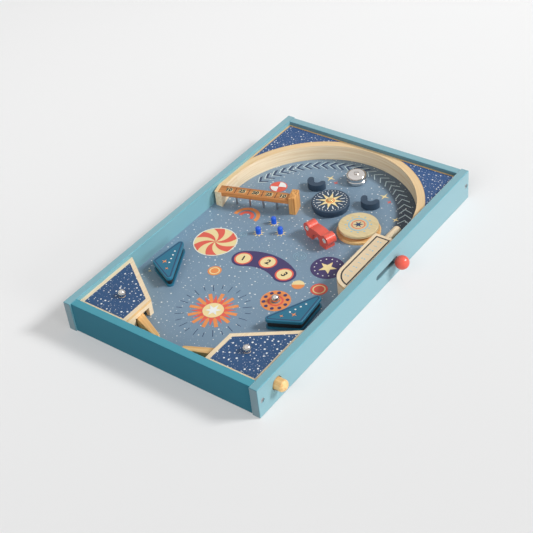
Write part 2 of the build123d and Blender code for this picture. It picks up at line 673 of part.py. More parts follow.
# Compass disc, free to spin on its axle above a fixed base
COMPASS_DISC_Z = BOARD_TOP + COMPASS_BASE_HEIGHT + COMPASS_GAP
COMPASS_CAP_Z = COMPASS_DISC_Z + COMPASS_THICK + COMPASS_GAP
with BuildPart() as compass_base:
    with Locations((*COMPASS_XY, BOARD_TOP)):
        Cylinder(COMPASS_BASE_RADIUS, COMPASS_BASE_HEIGHT, align=STANDING)
    with Locations((*COMPASS_XY, BOARD_TOP + COMPASS_BASE_HEIGHT)):
        Hole(COMPASS_AXLE / 2 + GLUE_CLEAR)
save(compass_base, "compass_base")

with BuildPart() as compass_disc:
    with Locations((*COMPASS_XY, COMPASS_DISC_Z)):
        Cylinder(COMPASS_RADIUS, COMPASS_THICK, align=STANDING)
    fillet(compass_disc.edges().sort_by(Axis.Z)[-1], EDGE_ROUND)
    with Locations((*COMPASS_XY, COMPASS_DISC_Z + COMPASS_THICK)):
        Hole(COMPASS_AXLE / 2 + RUNNING_CLEAR)
save(compass_disc, "compass_disc")

with BuildPart() as compass_axle:
    with Locations((*COMPASS_XY, COMPASS_CAP_Z)):
        Cylinder(COMPASS_CAP / 2, COMPASS_CAP_THICK, align=STANDING)
    fillet(compass_axle.edges().sort_by(Axis.Z)[-1], COMPASS_CAP_THICK / 2)
    with Locations((*COMPASS_XY, COMPASS_CAP_Z)):
        Cylinder(COMPASS_AXLE / 2, COMPASS_CAP_Z - BOARD_TOP + TENON_DEPTH, align=HANGING)
save(compass_axle, "compass_axle")

# Spool bumper: a base with a core, a rubber ring round the core, and a cap
SPOOL_CORE = SPOOL_RING_RADIUS - SPOOL_RING_THICK
with BuildPart() as spool_base:
    with Locations((*SPOOL_XY, BOARD_TOP)):
        Cylinder(SPOOL_BASE_RADIUS, SPOOL_LAYER, align=STANDING)
    fillet(spool_base.edges().sort_by(Axis.Z)[-1], EDGE_ROUND)
    with Locations((*SPOOL_XY, BOARD_TOP)):
        Cylinder(SPOOL_CORE, 2 * SPOOL_LAYER, align=STANDING)
save(spool_base, "spool_base")

with BuildPart() as spool_ring:
    with Locations((*SPOOL_XY, BOARD_TOP + SPOOL_LAYER)):
        Cylinder(SPOOL_RING_RADIUS, SPOOL_LAYER, align=STANDING)
        Cylinder(SPOOL_CORE + GLUE_CLEAR, SPOOL_LAYER, align=STANDING, mode=Mode.SUBTRACT)
save(spool_ring, "spool_ring")

with BuildPart() as spool_cap:
    with Locations((*SPOOL_XY, BOARD_TOP + 2 * SPOOL_LAYER)):
        Cylinder(SPOOL_RADIUS, SPOOL_LAYER, align=STANDING)
    fillet(spool_cap.edges().sort_by(Axis.Z)[-1], EDGE_ROUND)
save(spool_cap, "spool_cap")

# Bell: a turned gong with a groove round its side, held on a post by a screw
BELL_XY = on_arch(BELL_AT)
BELL_FOOT_Z = BOARD_TOP + BELL_RIM_GAP
BELL_TOP_Z = BELL_FOOT_Z + BELL_HEIGHT
BELL_LINE = Plane((*BELL_XY, BELL_FOOT_Z), x_dir=(1, 0, 0), z_dir=(0, -1, 0))
GROOVE_MIDDLE = (BELL_HEIGHT - BELL_SHOULDER) / 2
with BuildPart() as bell_gong:
    with BuildSketch(BELL_LINE):
        with BuildLine():
            Polyline(
                (0, BELL_HEIGHT),
                (BELL_RADIUS - BELL_SHOULDER, BELL_HEIGHT),
            )
            RadiusArc(
                (BELL_RADIUS - BELL_SHOULDER, BELL_HEIGHT),
                (BELL_RADIUS, BELL_HEIGHT - BELL_SHOULDER),
                BELL_SHOULDER,
            )
            Polyline(
                (BELL_RADIUS, BELL_HEIGHT - BELL_SHOULDER),
                (BELL_RADIUS, GROOVE_MIDDLE + BELL_GROOVE),
                (BELL_RADIUS - BELL_GROOVE, GROOVE_MIDDLE),
                (BELL_RADIUS, GROOVE_MIDDLE - BELL_GROOVE),
                (BELL_RADIUS, 0),
                (BELL_RADIUS - BELL_WALL, 0),
                (BELL_RADIUS - BELL_WALL, BELL_HEIGHT - BELL_SHOULDER),
            )
            RadiusArc(
                (BELL_RADIUS - BELL_WALL, BELL_HEIGHT - BELL_SHOULDER),
                (BELL_RADIUS - BELL_SHOULDER, BELL_HEIGHT - BELL_WALL),
                -(BELL_SHOULDER - BELL_WALL),
            )
            Polyline(
                (BELL_RADIUS - BELL_SHOULDER, BELL_HEIGHT - BELL_WALL),
                (0, BELL_HEIGHT - BELL_WALL),
                (0, BELL_HEIGHT),
            )
        make_face()
    revolve(axis=Axis((*BELL_XY, 0), (0, 0, 1)))
    with Locations((*BELL_XY, BELL_TOP_Z)):
        Hole(BELL_SCREW / 2 + GLUE_CLEAR)
save(bell_gong, "bell_gong")

with BuildPart() as bell_post:
    with Locations((*BELL_XY, BOARD_TOP)):
        Cylinder(BELL_POST / 2, BELL_TOP_Z - BELL_WALL - BOARD_TOP, align=STANDING)
    with Locations((*BELL_XY, BELL_TOP_Z - BELL_WALL)):
        Hole(BELL_SCREW / 2 + GLUE_CLEAR)
save(bell_post, "bell_post")

with BuildPart() as bell_screw:
    with Locations((*BELL_XY, BELL_TOP_Z)):
        Cylinder(BELL_SCREW_HEAD / 2, BELL_SCREW_HEAD_THICK, align=STANDING)
    fillet(bell_screw.edges().sort_by(Axis.Z)[-1], BELL_SCREW_HEAD_THICK / 2)
    with Locations((*BELL_XY, BELL_TOP_Z)):
        Cylinder(BELL_SCREW / 2, BELL_TOP_Z - BOARD_TOP + TENON_DEPTH, align=HANGING)
save(bell_screw, "bell_screw")

# Crescent bumpers: a bent base and a cap of the same plan
CRESCENT_START = CRESCENT_FACING - CRESCENT_ARC / 2
for side, place in CRESCENTS_AT.items():
    centre = (COMPASS_XY[0] + place[0], ARCH_Y + place[1])
    for layer, foot, height in (
        ("base", BOARD_TOP, CRESCENT_BASE_HEIGHT),
        ("cap", BOARD_TOP + CRESCENT_BASE_HEIGHT, CRESCENT_CAP_THICK),
    ):
        with BuildPart() as crescent:
            with BuildSketch(Plane.XY.offset(foot)):
                with BuildLine():
                    CenterArc(centre, CRESCENT_RADIUS, CRESCENT_START, CRESCENT_ARC)
                trace(line_width=CRESCENT_WIDTH)
                for angle in (CRESCENT_START, CRESCENT_START + CRESCENT_ARC):
                    with Locations(Location((*centre, 0), (0, 0, angle)) * Pos(CRESCENT_RADIUS, 0, 0)):
                        Circle(CRESCENT_WIDTH / 2)
            extrude(amount=height)
        save(crescent, f"{side}_crescent_{layer}")

# Gate: a bridge with an arched way through and a round ear, with an eye, at each end
GATE_COS = cos(radians(GATE_TURN))
GATE_SIN = sin(radians(GATE_TURN))
GATE_FACING = (GATE_SIN, -GATE_COS, 0)
GATE_PLANE = Plane((*on_arch(GATE_AT), BOARD_TOP), x_dir=(GATE_COS, GATE_SIN, 0), z_dir=GATE_FACING)
GATE_EARS = [(sign * GATE_EAR_AT[0], GATE_EAR_AT[1]) for sign in (-1, 1)]
with BuildPart() as red_gate:
    with BuildSketch(GATE_PLANE):
        with BuildLine():
            deck = ThreePointArc((-GATE_HALF, GATE_SHOULDER), (0, GATE_CROWN), (GATE_HALF, GATE_SHOULDER))
            Polyline(deck @ 1, (GATE_HALF, 0), (-GATE_HALF, 0), deck @ 0)
        make_face()
        with Locations(*GATE_EARS):
            Circle(GATE_EAR / 2)
        with Locations((0, (GATE_OPENING_HEIGHT - GATE_OPENING / 2) / 2)):
            Rectangle(GATE_OPENING, GATE_OPENING_HEIGHT - GATE_OPENING / 2, mode=Mode.SUBTRACT)
        with Locations((0, GATE_OPENING_HEIGHT - GATE_OPENING / 2)):
            Circle(GATE_OPENING / 2, mode=Mode.SUBTRACT)
    extrude(amount=GATE_THICK / 2, both=True)
    with BuildSketch(GATE_PLANE):
        with Locations(*GATE_EARS):
            Circle(GATE_EYE / 2)
    extrude(amount=GATE_THICK / 2, both=True, mode=Mode.SUBTRACT)
save(red_gate, "red_gate")

# Pegs with tenons in the playfield
with BuildPart() as blue_pegs:
    with Locations(*[(*on_arch(at), BOARD_TOP) for at in PEGS_AT]):
        Cylinder(PEG / 2, PEG_HEIGHT, align=STANDING)
        Cylinder(PEG_TENON / 2, TENON_DEPTH, align=HANGING)
    fillet(blue_pegs.edges().group_by(Axis.Z)[-1], PEG_ROUND)
save(blue_pegs, "blue_pegs")

# Scoring bridge: a post, a bar from the post to the arch, and pins that divide the lanes under it
with BuildPart() as score_post:
    with BuildSketch(LANE_PLANE.offset(BOARD_TOP - COVER_TOP)):
        with Locations(POST_SHIFT):
            RectangleRounded(POST_THICK, POST_WIDTH, POST_ROUND)
    extrude(amount=POST_HEIGHT)
    chamfer(score_post.edges().group_by(Axis.Z)[-1], POST_CHAMFER)
save(score_post, "score_post")

with BuildPart() as score_bar:
    with BuildSketch(LANE_PLANE):
        with Locations(((BAR_SLOT_LEFT + POST_FACE) / 2, 0)):
            Rectangle(POST_FACE - BAR_SLOT_LEFT, BAR_WIDTH)
    extrude(amount=-BAR_THICK)
save(score_bar, "score_bar")

with BuildPart() as score_dividers:
    with Locations(*DIVIDERS_AT):
        Cylinder(DIVIDER / 2, COVER_TOP - BAR_THICK - BOARD_TOP, align=STANDING)
        Cylinder(DIVIDER / 2, TENON_DEPTH, align=HANGING)
save(score_dividers, "score_dividers")

# Steel balls: one in the target hole, one in each front cover's hole
COVER_BALL = on_front(COVER_BALL_AT)
for name, place in (
    ("left", (-COVER_BALL[0], COVER_BALL[1], COVER_TOP + BALL_RISE)),
    ("right", (*COVER_BALL, COVER_TOP + BALL_RISE)),
    ("target", (TARGET_AT[0], TARGET_AT[1] - IN_Y, BOARD_TOP + BALL_RISE)),
):
    with BuildPart() as ball:
        with Locations(place):
            Sphere(BALL / 2)
    save(ball, f"{name}_ball")
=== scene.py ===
"""Prints, finishes and stage for a wooden tabletop pinball game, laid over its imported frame."""

import json
import math

import bmesh
import bpy
from mathutils import Matrix, Vector


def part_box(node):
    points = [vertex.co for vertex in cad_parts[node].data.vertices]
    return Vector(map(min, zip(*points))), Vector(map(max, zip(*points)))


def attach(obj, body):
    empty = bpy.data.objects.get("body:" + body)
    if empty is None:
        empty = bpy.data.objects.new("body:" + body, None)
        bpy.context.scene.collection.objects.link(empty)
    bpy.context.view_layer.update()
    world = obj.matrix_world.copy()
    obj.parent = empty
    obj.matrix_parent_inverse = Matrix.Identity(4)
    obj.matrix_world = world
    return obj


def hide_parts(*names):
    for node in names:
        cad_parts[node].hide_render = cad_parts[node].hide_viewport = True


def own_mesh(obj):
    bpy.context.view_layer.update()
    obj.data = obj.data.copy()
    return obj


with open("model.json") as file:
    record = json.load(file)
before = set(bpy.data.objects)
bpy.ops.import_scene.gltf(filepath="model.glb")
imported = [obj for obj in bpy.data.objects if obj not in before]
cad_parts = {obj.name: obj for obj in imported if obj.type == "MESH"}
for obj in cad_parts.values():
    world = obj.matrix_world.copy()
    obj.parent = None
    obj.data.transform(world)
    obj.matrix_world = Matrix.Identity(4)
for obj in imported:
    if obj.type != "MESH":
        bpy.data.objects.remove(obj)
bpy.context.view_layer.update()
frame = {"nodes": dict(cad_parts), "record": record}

bl_info = {
    "name": "Tabletop Pinball Game",
    "version": (1, 0, 0),
    "blender": (4, 5, 0),
    "location": "3D View > Sidebar > Pinball",
    "description": "Prints, finishes and stage for a wooden tabletop pinball game",
    "category": "Object",
}

MM = 0.001
SIDES = (("left", -1), ("right", 1))
ROUND_STEPS = 44  # corners of a printed circle
FIRST_LIFT = 0.4  # height of a face's first ink, as a share of the next ones' lift
PUNCH = 4.0  # length of the tool that cuts a print's holes

# Faces of the tray, read from the frame
FIELD_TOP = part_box("playfield")[1].z / MM
COVER_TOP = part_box("left_cover")[1].z / MM
INNER_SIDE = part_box("right_panel")[0].x / MM
INNER_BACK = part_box("back_panel")[0].y / MM

# Places of the solids that paint and print follow, in millimetres and degrees
ARCH_CENTRE = (3.0, 92.0)
ARCH_INNER = 139.0
BOARD_REACH = 150.2  # from the arch's centre to the edge of a corner board's print
COVER_SHOULDER = -183.0  # where a front cover's slanted edge meets its straight one
BALL_SEAT = (101.0, -197.0)
FLIPPER_LEAN = 22.0
GATE_PLACE = (38.5, 48.5)
GATE_TURN = -18.0
GATE_EYE_OUT = 19.0  # from the gate's middle
GATE_EYE_UP = 29.5  # from the table
GATE_BORE = 3.58
PEGS = ((-45.0, 19.0), (-39.5, 48.0), (-18.2, 34.0))
SCORE_START = (-29.5, 85.0)  # the post's place, on the bar's middle line
SCORE_TURN = 17.5
SCORE_FACE = 6.4  # from there to the post's face, where the first lane starts
SCORE_PITCH = 20.1
SCORE_LINE = 13.0  # length of the lines between the numbers
SCORE_TEXTS = ("10", "25", "50", "25", "10")
SCREW_END = 242.0  # from the tray's middle to the frame's screws
SCREW_HEIGHT = 24.0
SPRING_TURNS = {"left_button_spring": 5, "right_button_spring": 5, "plunger_spring": 7}

# Where painted shade darkens the walls of the side panels' holes, standing for the shade inside them
HOLE_LIP = 2.4  # how far in it is full
HOLE_EDGE = 3.0  # along the panels' long edges, where none is
HOLE_END = 18.0  # along the panels' ends, where none is

# Grain, plies and relief, in millimetres
GRAIN_LENGTH = 75.0
GRAIN_WIDTH = 1.9
PLY = 1.3
GRAIN_RELIEF = 0.12
PAINT_RELIEF = 0.03
PRINT_RELIEF = 0.02
RUBBER_RELIEF = 0.06
SCRATCH_RELIEF = 0.004

# The red paint's look, on the knob and on the gate
RED_GLOSS = {"roughness": 0.32, "drift": 0.12, "coat": 0.25}

# The dark band of the playfield's print: its soft inner edge, and its ends round the arch in radians
BAND_EDGE = (106.0, 114.5)
BAND_START = (-0.42, 0.0)
BAND_END = (0.5, 2.3)
BAND_STRENGTH = 0.94

# Places of the playfield's prints, each print at x and y
NUMBER_HUB = (4.0, -88.8)
NUMBERS = (("1", -30.0, -36.0, 15.0), ("2", 4.0, -26.0, 0.0), ("3", 38.0, -36.0, -15.0))  # text, x, y, turn
NUMBER_LIFT = 0.45  # height of the numbers over the field
TARGET = (59.0, -84.5)
BURST = (0.0, -140.0)
PINWHEEL = (-86.0, -26.0)
NIGHT_DISC = (80.0, 4.0)
RED_DISC = (95.0, -38.0)
HALF_DISC = (66.0, -44.0)
SMALL_DISC = (-48.0, -76.0)
QUARTERED_DISC = (-85.0, 122.0)
BOW = (-84.0, 42.0)
CREAM_SPARKS = (  # x, y, reach of the rays, and of the notches between them
    (-30.0, 176.0, 8.0, 2.0),
    (62.0, 175.0, 8.0, 2.0),
    (-129.0, -102.0, 4.0, 1.1),
    (-125.0, -120.0, 3.2, 0.9),
    (104.0, 136.0, 6.0, 1.6),
)
CORAL_SPARKS = ((-17.0, 170.0, 4.6, 1.3), (75.0, 167.0, 4.6, 1.3))
THIN_RINGS = ((34.0, 6.0, (3.0, 6.0, 9.0)), (-62.0, 6.0, (2.6, 5.2)))  # x, y, radii

# Print of the right slingshot and the plunger's cover
SLING_LINE = ((113.0, -67.0), (82.0, -128.0), (117.0, -112.0))
SLING_SPARKS = ((106.0, -108.0, 4.4, 1.2), (94.0, -118.0, 3.0, 0.9))
LAUNCHER_BEND = (INNER_SIDE, -11.0, 26.0)  # x, y, radius
LAUNCHER_SIDE = 138.0
LAUNCHER_BACK = 68.0
LAUNCHER_MIDDLE = 127.5
LAUNCHER_STEP = 19.5

# Stage, in metres
FLOOR_SIZE = 12.0
FLOOR_SLANT = (0.875, -0.484, 0.0)  # the way across the floor along which painted shade darkens its tone, towards the front right
FLOOR_TURN = 0.9  # how far from the game it reaches its two tones
FLOOR_BOUNCE = 0.5  # share of its tone that throws light back on the game
HAZE_SPAN = (1.3, 3.2)  # where the floor blends into the backdrop
HAZE_LEAST = 0.22  # share of the backdrop's glow in the floor near the game, a painted light that lightens the game's shadow there
BACKDROP = 0.9  # level of the backdrop, where 1 is white
STRIP_LOW = (0.2, 0.34)  # rise of the dark strip that metal mirrors
STRIP_HIGH = (0.42, 0.6)
STRIP_DEPTH = 0.74
LAMPS = {  # place, size
    "key": ((3.95, 2.66, 3.72), 1.4),
    "front": ((0.4, -4.0, 2.6), 3.0),
    "side": ((4.6, -0.8, 0.8), 2.0),
}
CAMERA_PLACE = (0.7949, -0.9514, 0.9957)
CAMERA_RIGHT = (0.8031, 0.5883, -0.0946)
CAMERA_DOWN = (0.3147, -0.5535, -0.7711)
CAMERA_AHEAD = (-0.506, 0.5895, -0.6296)
LENS = 78.87
SENSOR = 36.0


def tone(red, green, blue):
    """A display colour, 0 to 255, as a linear one."""

    def linear(level):
        level = level / 255
        return level / 12.92 if level <= 0.04045 else ((level + 0.055) / 1.055) ** 2.4

    return (linear(red), linear(green), linear(blue))


def tone_prop(name, description, red, green, blue):
    """A colour that a user may change."""
    return bpy.props.FloatVectorProperty(
        name=name,
        description=description,
        subtype="COLOR",
        size=3,
        min=0.0,
        max=1.0,
        default=tone(red, green, blue),
    )


def length_prop(name, description, millimetres):
    """A length that a user may change."""
    return bpy.props.FloatProperty(
        name=name,
        description=description,
        default=millimetres * MM,
        min=0.0,
        precision=5,
        unit="LENGTH",
    )


def power_prop(name, description, watts):
    """A lamp's power that a user may change."""
    return bpy.props.FloatProperty(name=name, description=description, default=watts, min=0.0, unit="POWER")


class PinballSizes(bpy.types.PropertyGroup):
    """Sizes of the printed layers."""

    ink: length_prop("Ink", "Thickness of one printed layer", 0.04)
    lift: length_prop("Lift", "Height from one printed layer to the next", 0.05)
    cover_border: length_prop("Cover border", "Bare wood round the print of a front cover", 6.0)
    board_border: length_prop("Board border", "Bare wood beside the print of a corner board", 2.6)
    ball_hole: length_prop("Ball hole", "Radius of the print's hole at a resting ball", 4.7)
    star_spacing: length_prop("Star spacing", "Spacing of the star dots on the covers", 6.6)
    board_star_spacing: length_prop("Board star spacing", "Spacing of the corner boards' star dots", 5.4)
    field_star_spacing: length_prop("Field star spacing", "Spacing of the playfield's star dots", 7.5)
    wire: length_prop("Wire", "Thickness of the springs' wire", 1.2)
    numeral: length_prop("Numeral", "Height of the numerals on the scoring bar", 9.5)
    disc_numeral: length_prop("Disc numeral", "Height of the numerals on the playfield", 13.0)


class PinballTones(bpy.types.PropertyGroup):
    """Colours of paint, print and wood."""

    frame_paint: tone_prop("Frame paint", "Paint of the tray's panels", 70, 148, 164)
    # front_paint is painted shade: a deeper tone that stands for the lesser light on the faces that look to
    # the front and on the holes' walls
    front_paint: tone_prop("Front paint", "Deeper paint of the faces that look to the front", 6, 98, 118)
    field_blue: tone_prop("Field blue", "Ground of the playfield's print", 122, 147, 168)
    band_dark: tone_prop("Band", "Dark band under the arch", 42, 54, 68)
    navy: tone_prop("Navy", "Ground of the covers' star print", 40, 76, 118)
    board_navy: tone_prop("Board navy", "Ground of the corner boards' star print", 48, 82, 130)
    teal_plate: tone_prop("Teal plate", "Paint of the slingshots", 34, 108, 136)
    slate: tone_prop("Slate", "Paint of the compass and crescents", 48, 68, 88)
    red: tone_prop("Red", "Paint of the gate and knob", 223, 89, 72)
    blue: tone_prop("Blue", "Paint of the pegs", 24, 92, 214)
    wood_light: tone_prop("Pale wood", "Light grain of the bare wood", 246, 230, 202)
    wood_dark: tone_prop("Wood grain", "Dark grain of the bare wood", 226, 196, 152)
    wood_edge: tone_prop("Cut edge", "Cut edges of the bare wood", 232, 190, 128)
    stain_light: tone_prop("Stain", "Light grain of the scoring bar", 214, 146, 82)
    stain_dark: tone_prop("Stain grain", "Dark grain of the scoring bar", 156, 92, 44)
    honey_light: tone_prop("Honey", "Light grain of the warm wood", 244, 206, 146)
    honey_dark: tone_prop("Honey grain", "Dark grain of the warm wood", 214, 158, 90)
    sand_light: tone_prop("Sand", "Light grain of the spool's cap", 230, 212, 168)
    sand_dark: tone_prop("Sand grain", "Dark grain of the spool's cap", 208, 186, 138)
    bark_light: tone_prop("Bark", "Light grain of the scoring post", 234, 176, 104)
    bark_dark: tone_prop("Bark grain", "Dark grain of the scoring post", 172, 106, 50)
    plum: tone_prop("Plum", "Plum ink", 66, 56, 100)
    coral: tone_prop("Coral", "Coral ink", 226, 98, 82)
    orange: tone_prop("Orange", "Orange ink", 234, 146, 84)
    peach: tone_prop("Peach", "Peach ink", 226, 204, 170)
    cream: tone_prop("Cream", "Cream ink", 240, 219, 162)
    white: tone_prop("White", "White ink", 238, 240, 238)
    sky: tone_prop("Sky", "Light blue ink", 150, 192, 208)
    deep: tone_prop("Deep blue", "Deep blue ink", 44, 66, 100)
    mist: tone_prop("Mist", "Pale blue ink of the chevrons", 196, 216, 222)
    black: tone_prop("Black", "Black ink", 30, 30, 36)


class PinballStage(bpy.types.PropertyGroup):
    """Floor and lights."""

    floor: tone_prop("Floor", "Colour of the floor behind the game", 255, 255, 255)
    # floor_near is painted shade: the floor's darker tone towards the front right, which evens out the lamps'
    # light there
    floor_near: tone_prop("Lit floor", "Colour of the floor on the lamps' side", 216, 216, 216)
    key: power_prop("Key light", "Power of the key light", 282.0)
    front: power_prop("Front light", "Power of the soft front light", 82.0)
    side: power_prop("Side light", "Power of the low side light", 96.0)
    sky: bpy.props.FloatProperty(
        name="Ambient",
        description="Level of the light from all round",
        default=0.28,
        min=0.0,
        subtype="FACTOR",
    )


# Nodes of the materials


def fill_socket(tree, socket, value):
    """Join a socket to another one, or set its value."""
    if isinstance(value, bpy.types.NodeSocket):
        tree.links.new(value, socket)
    elif socket.type == "RGBA" and len(value) == 3:
        socket.default_value = (*value, 1.0)
    else:
        socket.default_value = value


def fill_sockets(tree, node, **values):
    """Join or set a node's inputs by name. An underscore stands for a space."""
    for name, value in values.items():
        fill_socket(tree, node.inputs[name.replace("_", " ")], value)


def add_node(tree, kind, settings=None, **values):
    """A node with its settings and its inputs, each input a value or a socket."""
    node = tree.nodes.new(kind)
    for name, value in (settings or {}).items():
        setattr(node, name, value)
    fill_sockets(tree, node, **values)
    return node


def calc(tree, operation, *values, clamp=False):
    """The result of a Math node."""
    node = add_node(tree, "ShaderNodeMath", {"operation": operation, "use_clamp": clamp})
    for socket, value in zip(node.inputs, values):
        fill_socket(tree, socket, value)
    return node.outputs[0]


def ramp(tree, value, low, high, low_out=0.0, high_out=1.0):
    """A value carried smoothly from one range to another."""
    smooth = {"interpolation_type": "SMOOTHSTEP"}
    node = add_node(tree, "ShaderNodeMapRange", smooth, Value=value, From_Min=low, From_Max=high)
    fill_sockets(tree, node, To_Min=low_out, To_Max=high_out)
    return node.outputs[0]


def mix_tones(tree, factor, first, second, blend="MIX"):
    """Two colours mixed by a factor."""
    node = add_node(tree, "ShaderNodeMix", {"data_type": "RGBA", "blend_type": blend})
    for index, value in ((0, factor), (6, first), (7, second)):
        fill_socket(tree, node.inputs[index], value)
    return node.outputs[2]


def noise(tree, vector, scale, detail, distortion=0.0):
    """The value of a Noise node."""
    node = add_node(tree, "ShaderNodeTexNoise", Vector=vector, Scale=scale, Detail=detail)
    fill_sockets(tree, node, Distortion=distortion)
    return node.outputs["Fac"]


def split(tree, vector):
    """The three parts of a vector."""
    return add_node(tree, "ShaderNodeSeparateXYZ", Vector=vector).outputs


def object_place(tree):
    """The Object coordinates of the piece."""
    return tree.nodes.new("ShaderNodeTexCoord").outputs["Object"]


def face_normal(tree):
    """The three parts of the way that a face looks."""
    return split(tree, tree.nodes.new("ShaderNodeNewGeometry").outputs["Normal"])


def distance(tree, first, second):
    """The distance of a place that lies so far off along two axes."""
    squares = [calc(tree, "POWER", value, 2.0) for value in (first, second)]
    return calc(tree, "SQRT", calc(tree, "ADD", *squares))


def from_arch(tree):
    """How far a place lies across and behind the arch's centre, and its height."""
    x, y, height = split(tree, object_place(tree))
    across = calc(tree, "SUBTRACT", x, ARCH_CENTRE[0] * MM)
    return across, calc(tree, "SUBTRACT", y, ARCH_CENTRE[1] * MM), height


def arch_place(tree):
    """Coordinates that run along the bent rail: way round, distance from its centre, height."""
    across, back, height = from_arch(tree)
    way = calc(tree, "MULTIPLY", calc(tree, "ARCTAN2", back, across), ARCH_INNER * MM)
    return add_node(tree, "ShaderNodeCombineXYZ", X=way, Y=distance(tree, across, back), Z=height).outputs[0]


def mapped(tree, vector, centre=(0.0, 0.0, 0.0), turn=0.0, scale=(1.0, 1.0, 1.0)):
    """Coordinates from a centre, turned about Z and measured in given lengths."""
    node = add_node(tree, "ShaderNodeMapping", {"vector_type": "TEXTURE"}, Vector=vector)
    fill_sockets(tree, node, Location=centre, Rotation=(0.0, 0.0, turn), Scale=scale)
    return node.outputs[0]


# Effects that materials share


def effect_group(name, takes, gives):
    """A new node group with named sockets, its inputs and its outputs."""
    tree = bpy.data.node_groups.new(name, "ShaderNodeTree")
    for way, sockets in (("INPUT", takes), ("OUTPUT", gives)):
        for socket, kind in sockets:
            tree.interface.new_socket(socket, in_out=way, socket_type="NodeSocket" + kind)
    return tree, tree.nodes.new("NodeGroupInput").outputs, tree.nodes.new("NodeGroupOutput")


def place_group(tree, build, **values):
    """A shared effect, built the first time that it is asked for and set in a material."""
    name = build.__name__
    group = {"node_tree": bpy.data.node_groups.get(name) or build(name)}
    return add_node(tree, "ShaderNodeGroup", group, **values).outputs


def wood_grain(name):
    """Long fibres between two tones."""
    takes = (("Vector", "Vector"), ("Light", "Color"), ("Dark", "Color"), ("Contrast", "Float"))
    gives = (("Color", "Color"), ("Roughness", "Float"), ("Height", "Float"))
    tree, given, out = effect_group(name, takes, gives)
    streak = noise(tree, given["Vector"], scale=0.7, detail=4.0, distortion=0.6)
    fibre = noise(tree, given["Vector"], scale=2.6, detail=6.0)
    both = calc(tree, "ADD", calc(tree, "MULTIPLY", streak, 0.62), calc(tree, "MULTIPLY", fibre, 0.38))
    centred = calc(tree, "SUBTRACT", both, 0.5)
    grain = calc(tree, "ADD", calc(tree, "MULTIPLY", centred, given["Contrast"]), 0.55, clamp=True)
    colour = mix_tones(tree, grain, given["Dark"], given["Light"])
    fill_sockets(tree, out, Color=colour, Roughness=ramp(tree, grain, 0.0, 1.0, 0.56, 0.42), Height=grain)
    return tree


def paint_skin(name):
    """A painted or printed face: slow drift of its tone, and a fine roller texture."""
    takes = (("Vector", "Vector"), ("Color", "Color"), ("Drift", "Float"), ("Roughness", "Float"))
    gives = (("Color", "Color"), ("Roughness", "Float"), ("Height", "Float"))
    tree, given, out = effect_group(name, takes, gives)
    cloud = noise(tree, given["Vector"], scale=14.0, detail=3.0)
    speck = noise(tree, given["Vector"], scale=900.0, detail=2.0)
    shade = calc(tree, "ADD", calc(tree, "MULTIPLY", cloud, 0.7), calc(tree, "MULTIPLY", speck, 0.3))
    level = calc(tree, "MULTIPLY", calc(tree, "SUBTRACT", shade, 0.5), given["Drift"])
    light = calc(tree, "ADD", level, 1.0)
    grey = add_node(tree, "ShaderNodeCombineColor", Red=light, Green=light, Blue=light).outputs[0]
    colour = mix_tones(tree, 1.0, given["Color"], grey, "MULTIPLY")
    patches = calc(tree, "MULTIPLY", calc(tree, "SUBTRACT", cloud, 0.5), 0.16)
    rough = calc(tree, "ADD", given["Roughness"], patches)
    fill_sockets(tree, out, Color=colour, Roughness=rough, Height=speck)
    return tree


def star_dots(name):
    """Round dots of many sizes, one at most in each cell."""
    takes = (("Vector", "Vector"), ("Spacing", "Float"), ("Size", "Float"), ("Share", "Float"))
    tree, given, out = effect_group(name, takes, (("Mask", "Float"),))
    scale = calc(tree, "DIVIDE", 1.0, given["Spacing"])
    flat = {"voronoi_dimensions": "2D"}
    cells = add_node(tree, "ShaderNodeTexVoronoi", flat, Vector=given["Vector"], Scale=scale, Randomness=0.8)
    dice = add_node(tree, "ShaderNodeSeparateColor", Color=cells.outputs["Color"]).outputs
    spread = calc(tree, "ADD", calc(tree, "POWER", dice[0], 1.8), 0.36)
    radius = calc(tree, "MULTIPLY", spread, given["Size"])
    inside = calc(tree, "DIVIDE", calc(tree, "SUBTRACT", radius, cells.outputs["Distance"]), 0.05, clamp=True)
    kept = calc(tree, "LESS_THAN", dice[1], given["Share"])
    fill_sockets(tree, out, Mask=calc(tree, "MULTIPLY", inside, kept))
    return tree


def metal_skin(name):
    """Fine scratches and smears on metal."""
    takes = (("Vector", "Vector"), ("Roughness", "Float"), ("Smear", "Float"))
    tree, given, out = effect_group(name, takes, (("Roughness", "Float"), ("Height", "Float")))
    smear = noise(tree, given["Vector"], scale=160.0, detail=4.0, distortion=1.2)
    scratch = noise(tree, given["Vector"], scale=1400.0, detail=2.0)
    rough = calc(tree, "ADD", given["Roughness"], calc(tree, "MULTIPLY", smear, given["Smear"]))
    fill_sockets(tree, out, Roughness=rough, Height=scratch)
    return tree


# Finishes


def new_finish(name):
    """A new material, its node tree and its shader."""
    material = bpy.data.materials.new(name)
    material.use_nodes = True
    tree = material.node_tree
    tree.nodes.clear()
    shader = tree.nodes.new("ShaderNodeBsdfPrincipled")
    add_node(tree, "ShaderNodeOutputMaterial", Surface=shader.outputs[0])
    return material, tree, shader


def set_bump(tree, shader, height, relief):
    """Relief on a shader's normal, in millimetres."""
    bump = add_node(tree, "ShaderNodeBump", Height=height, Strength=1.0, Distance=relief * MM)
    fill_sockets(tree, shader, Normal=bump.outputs[0])


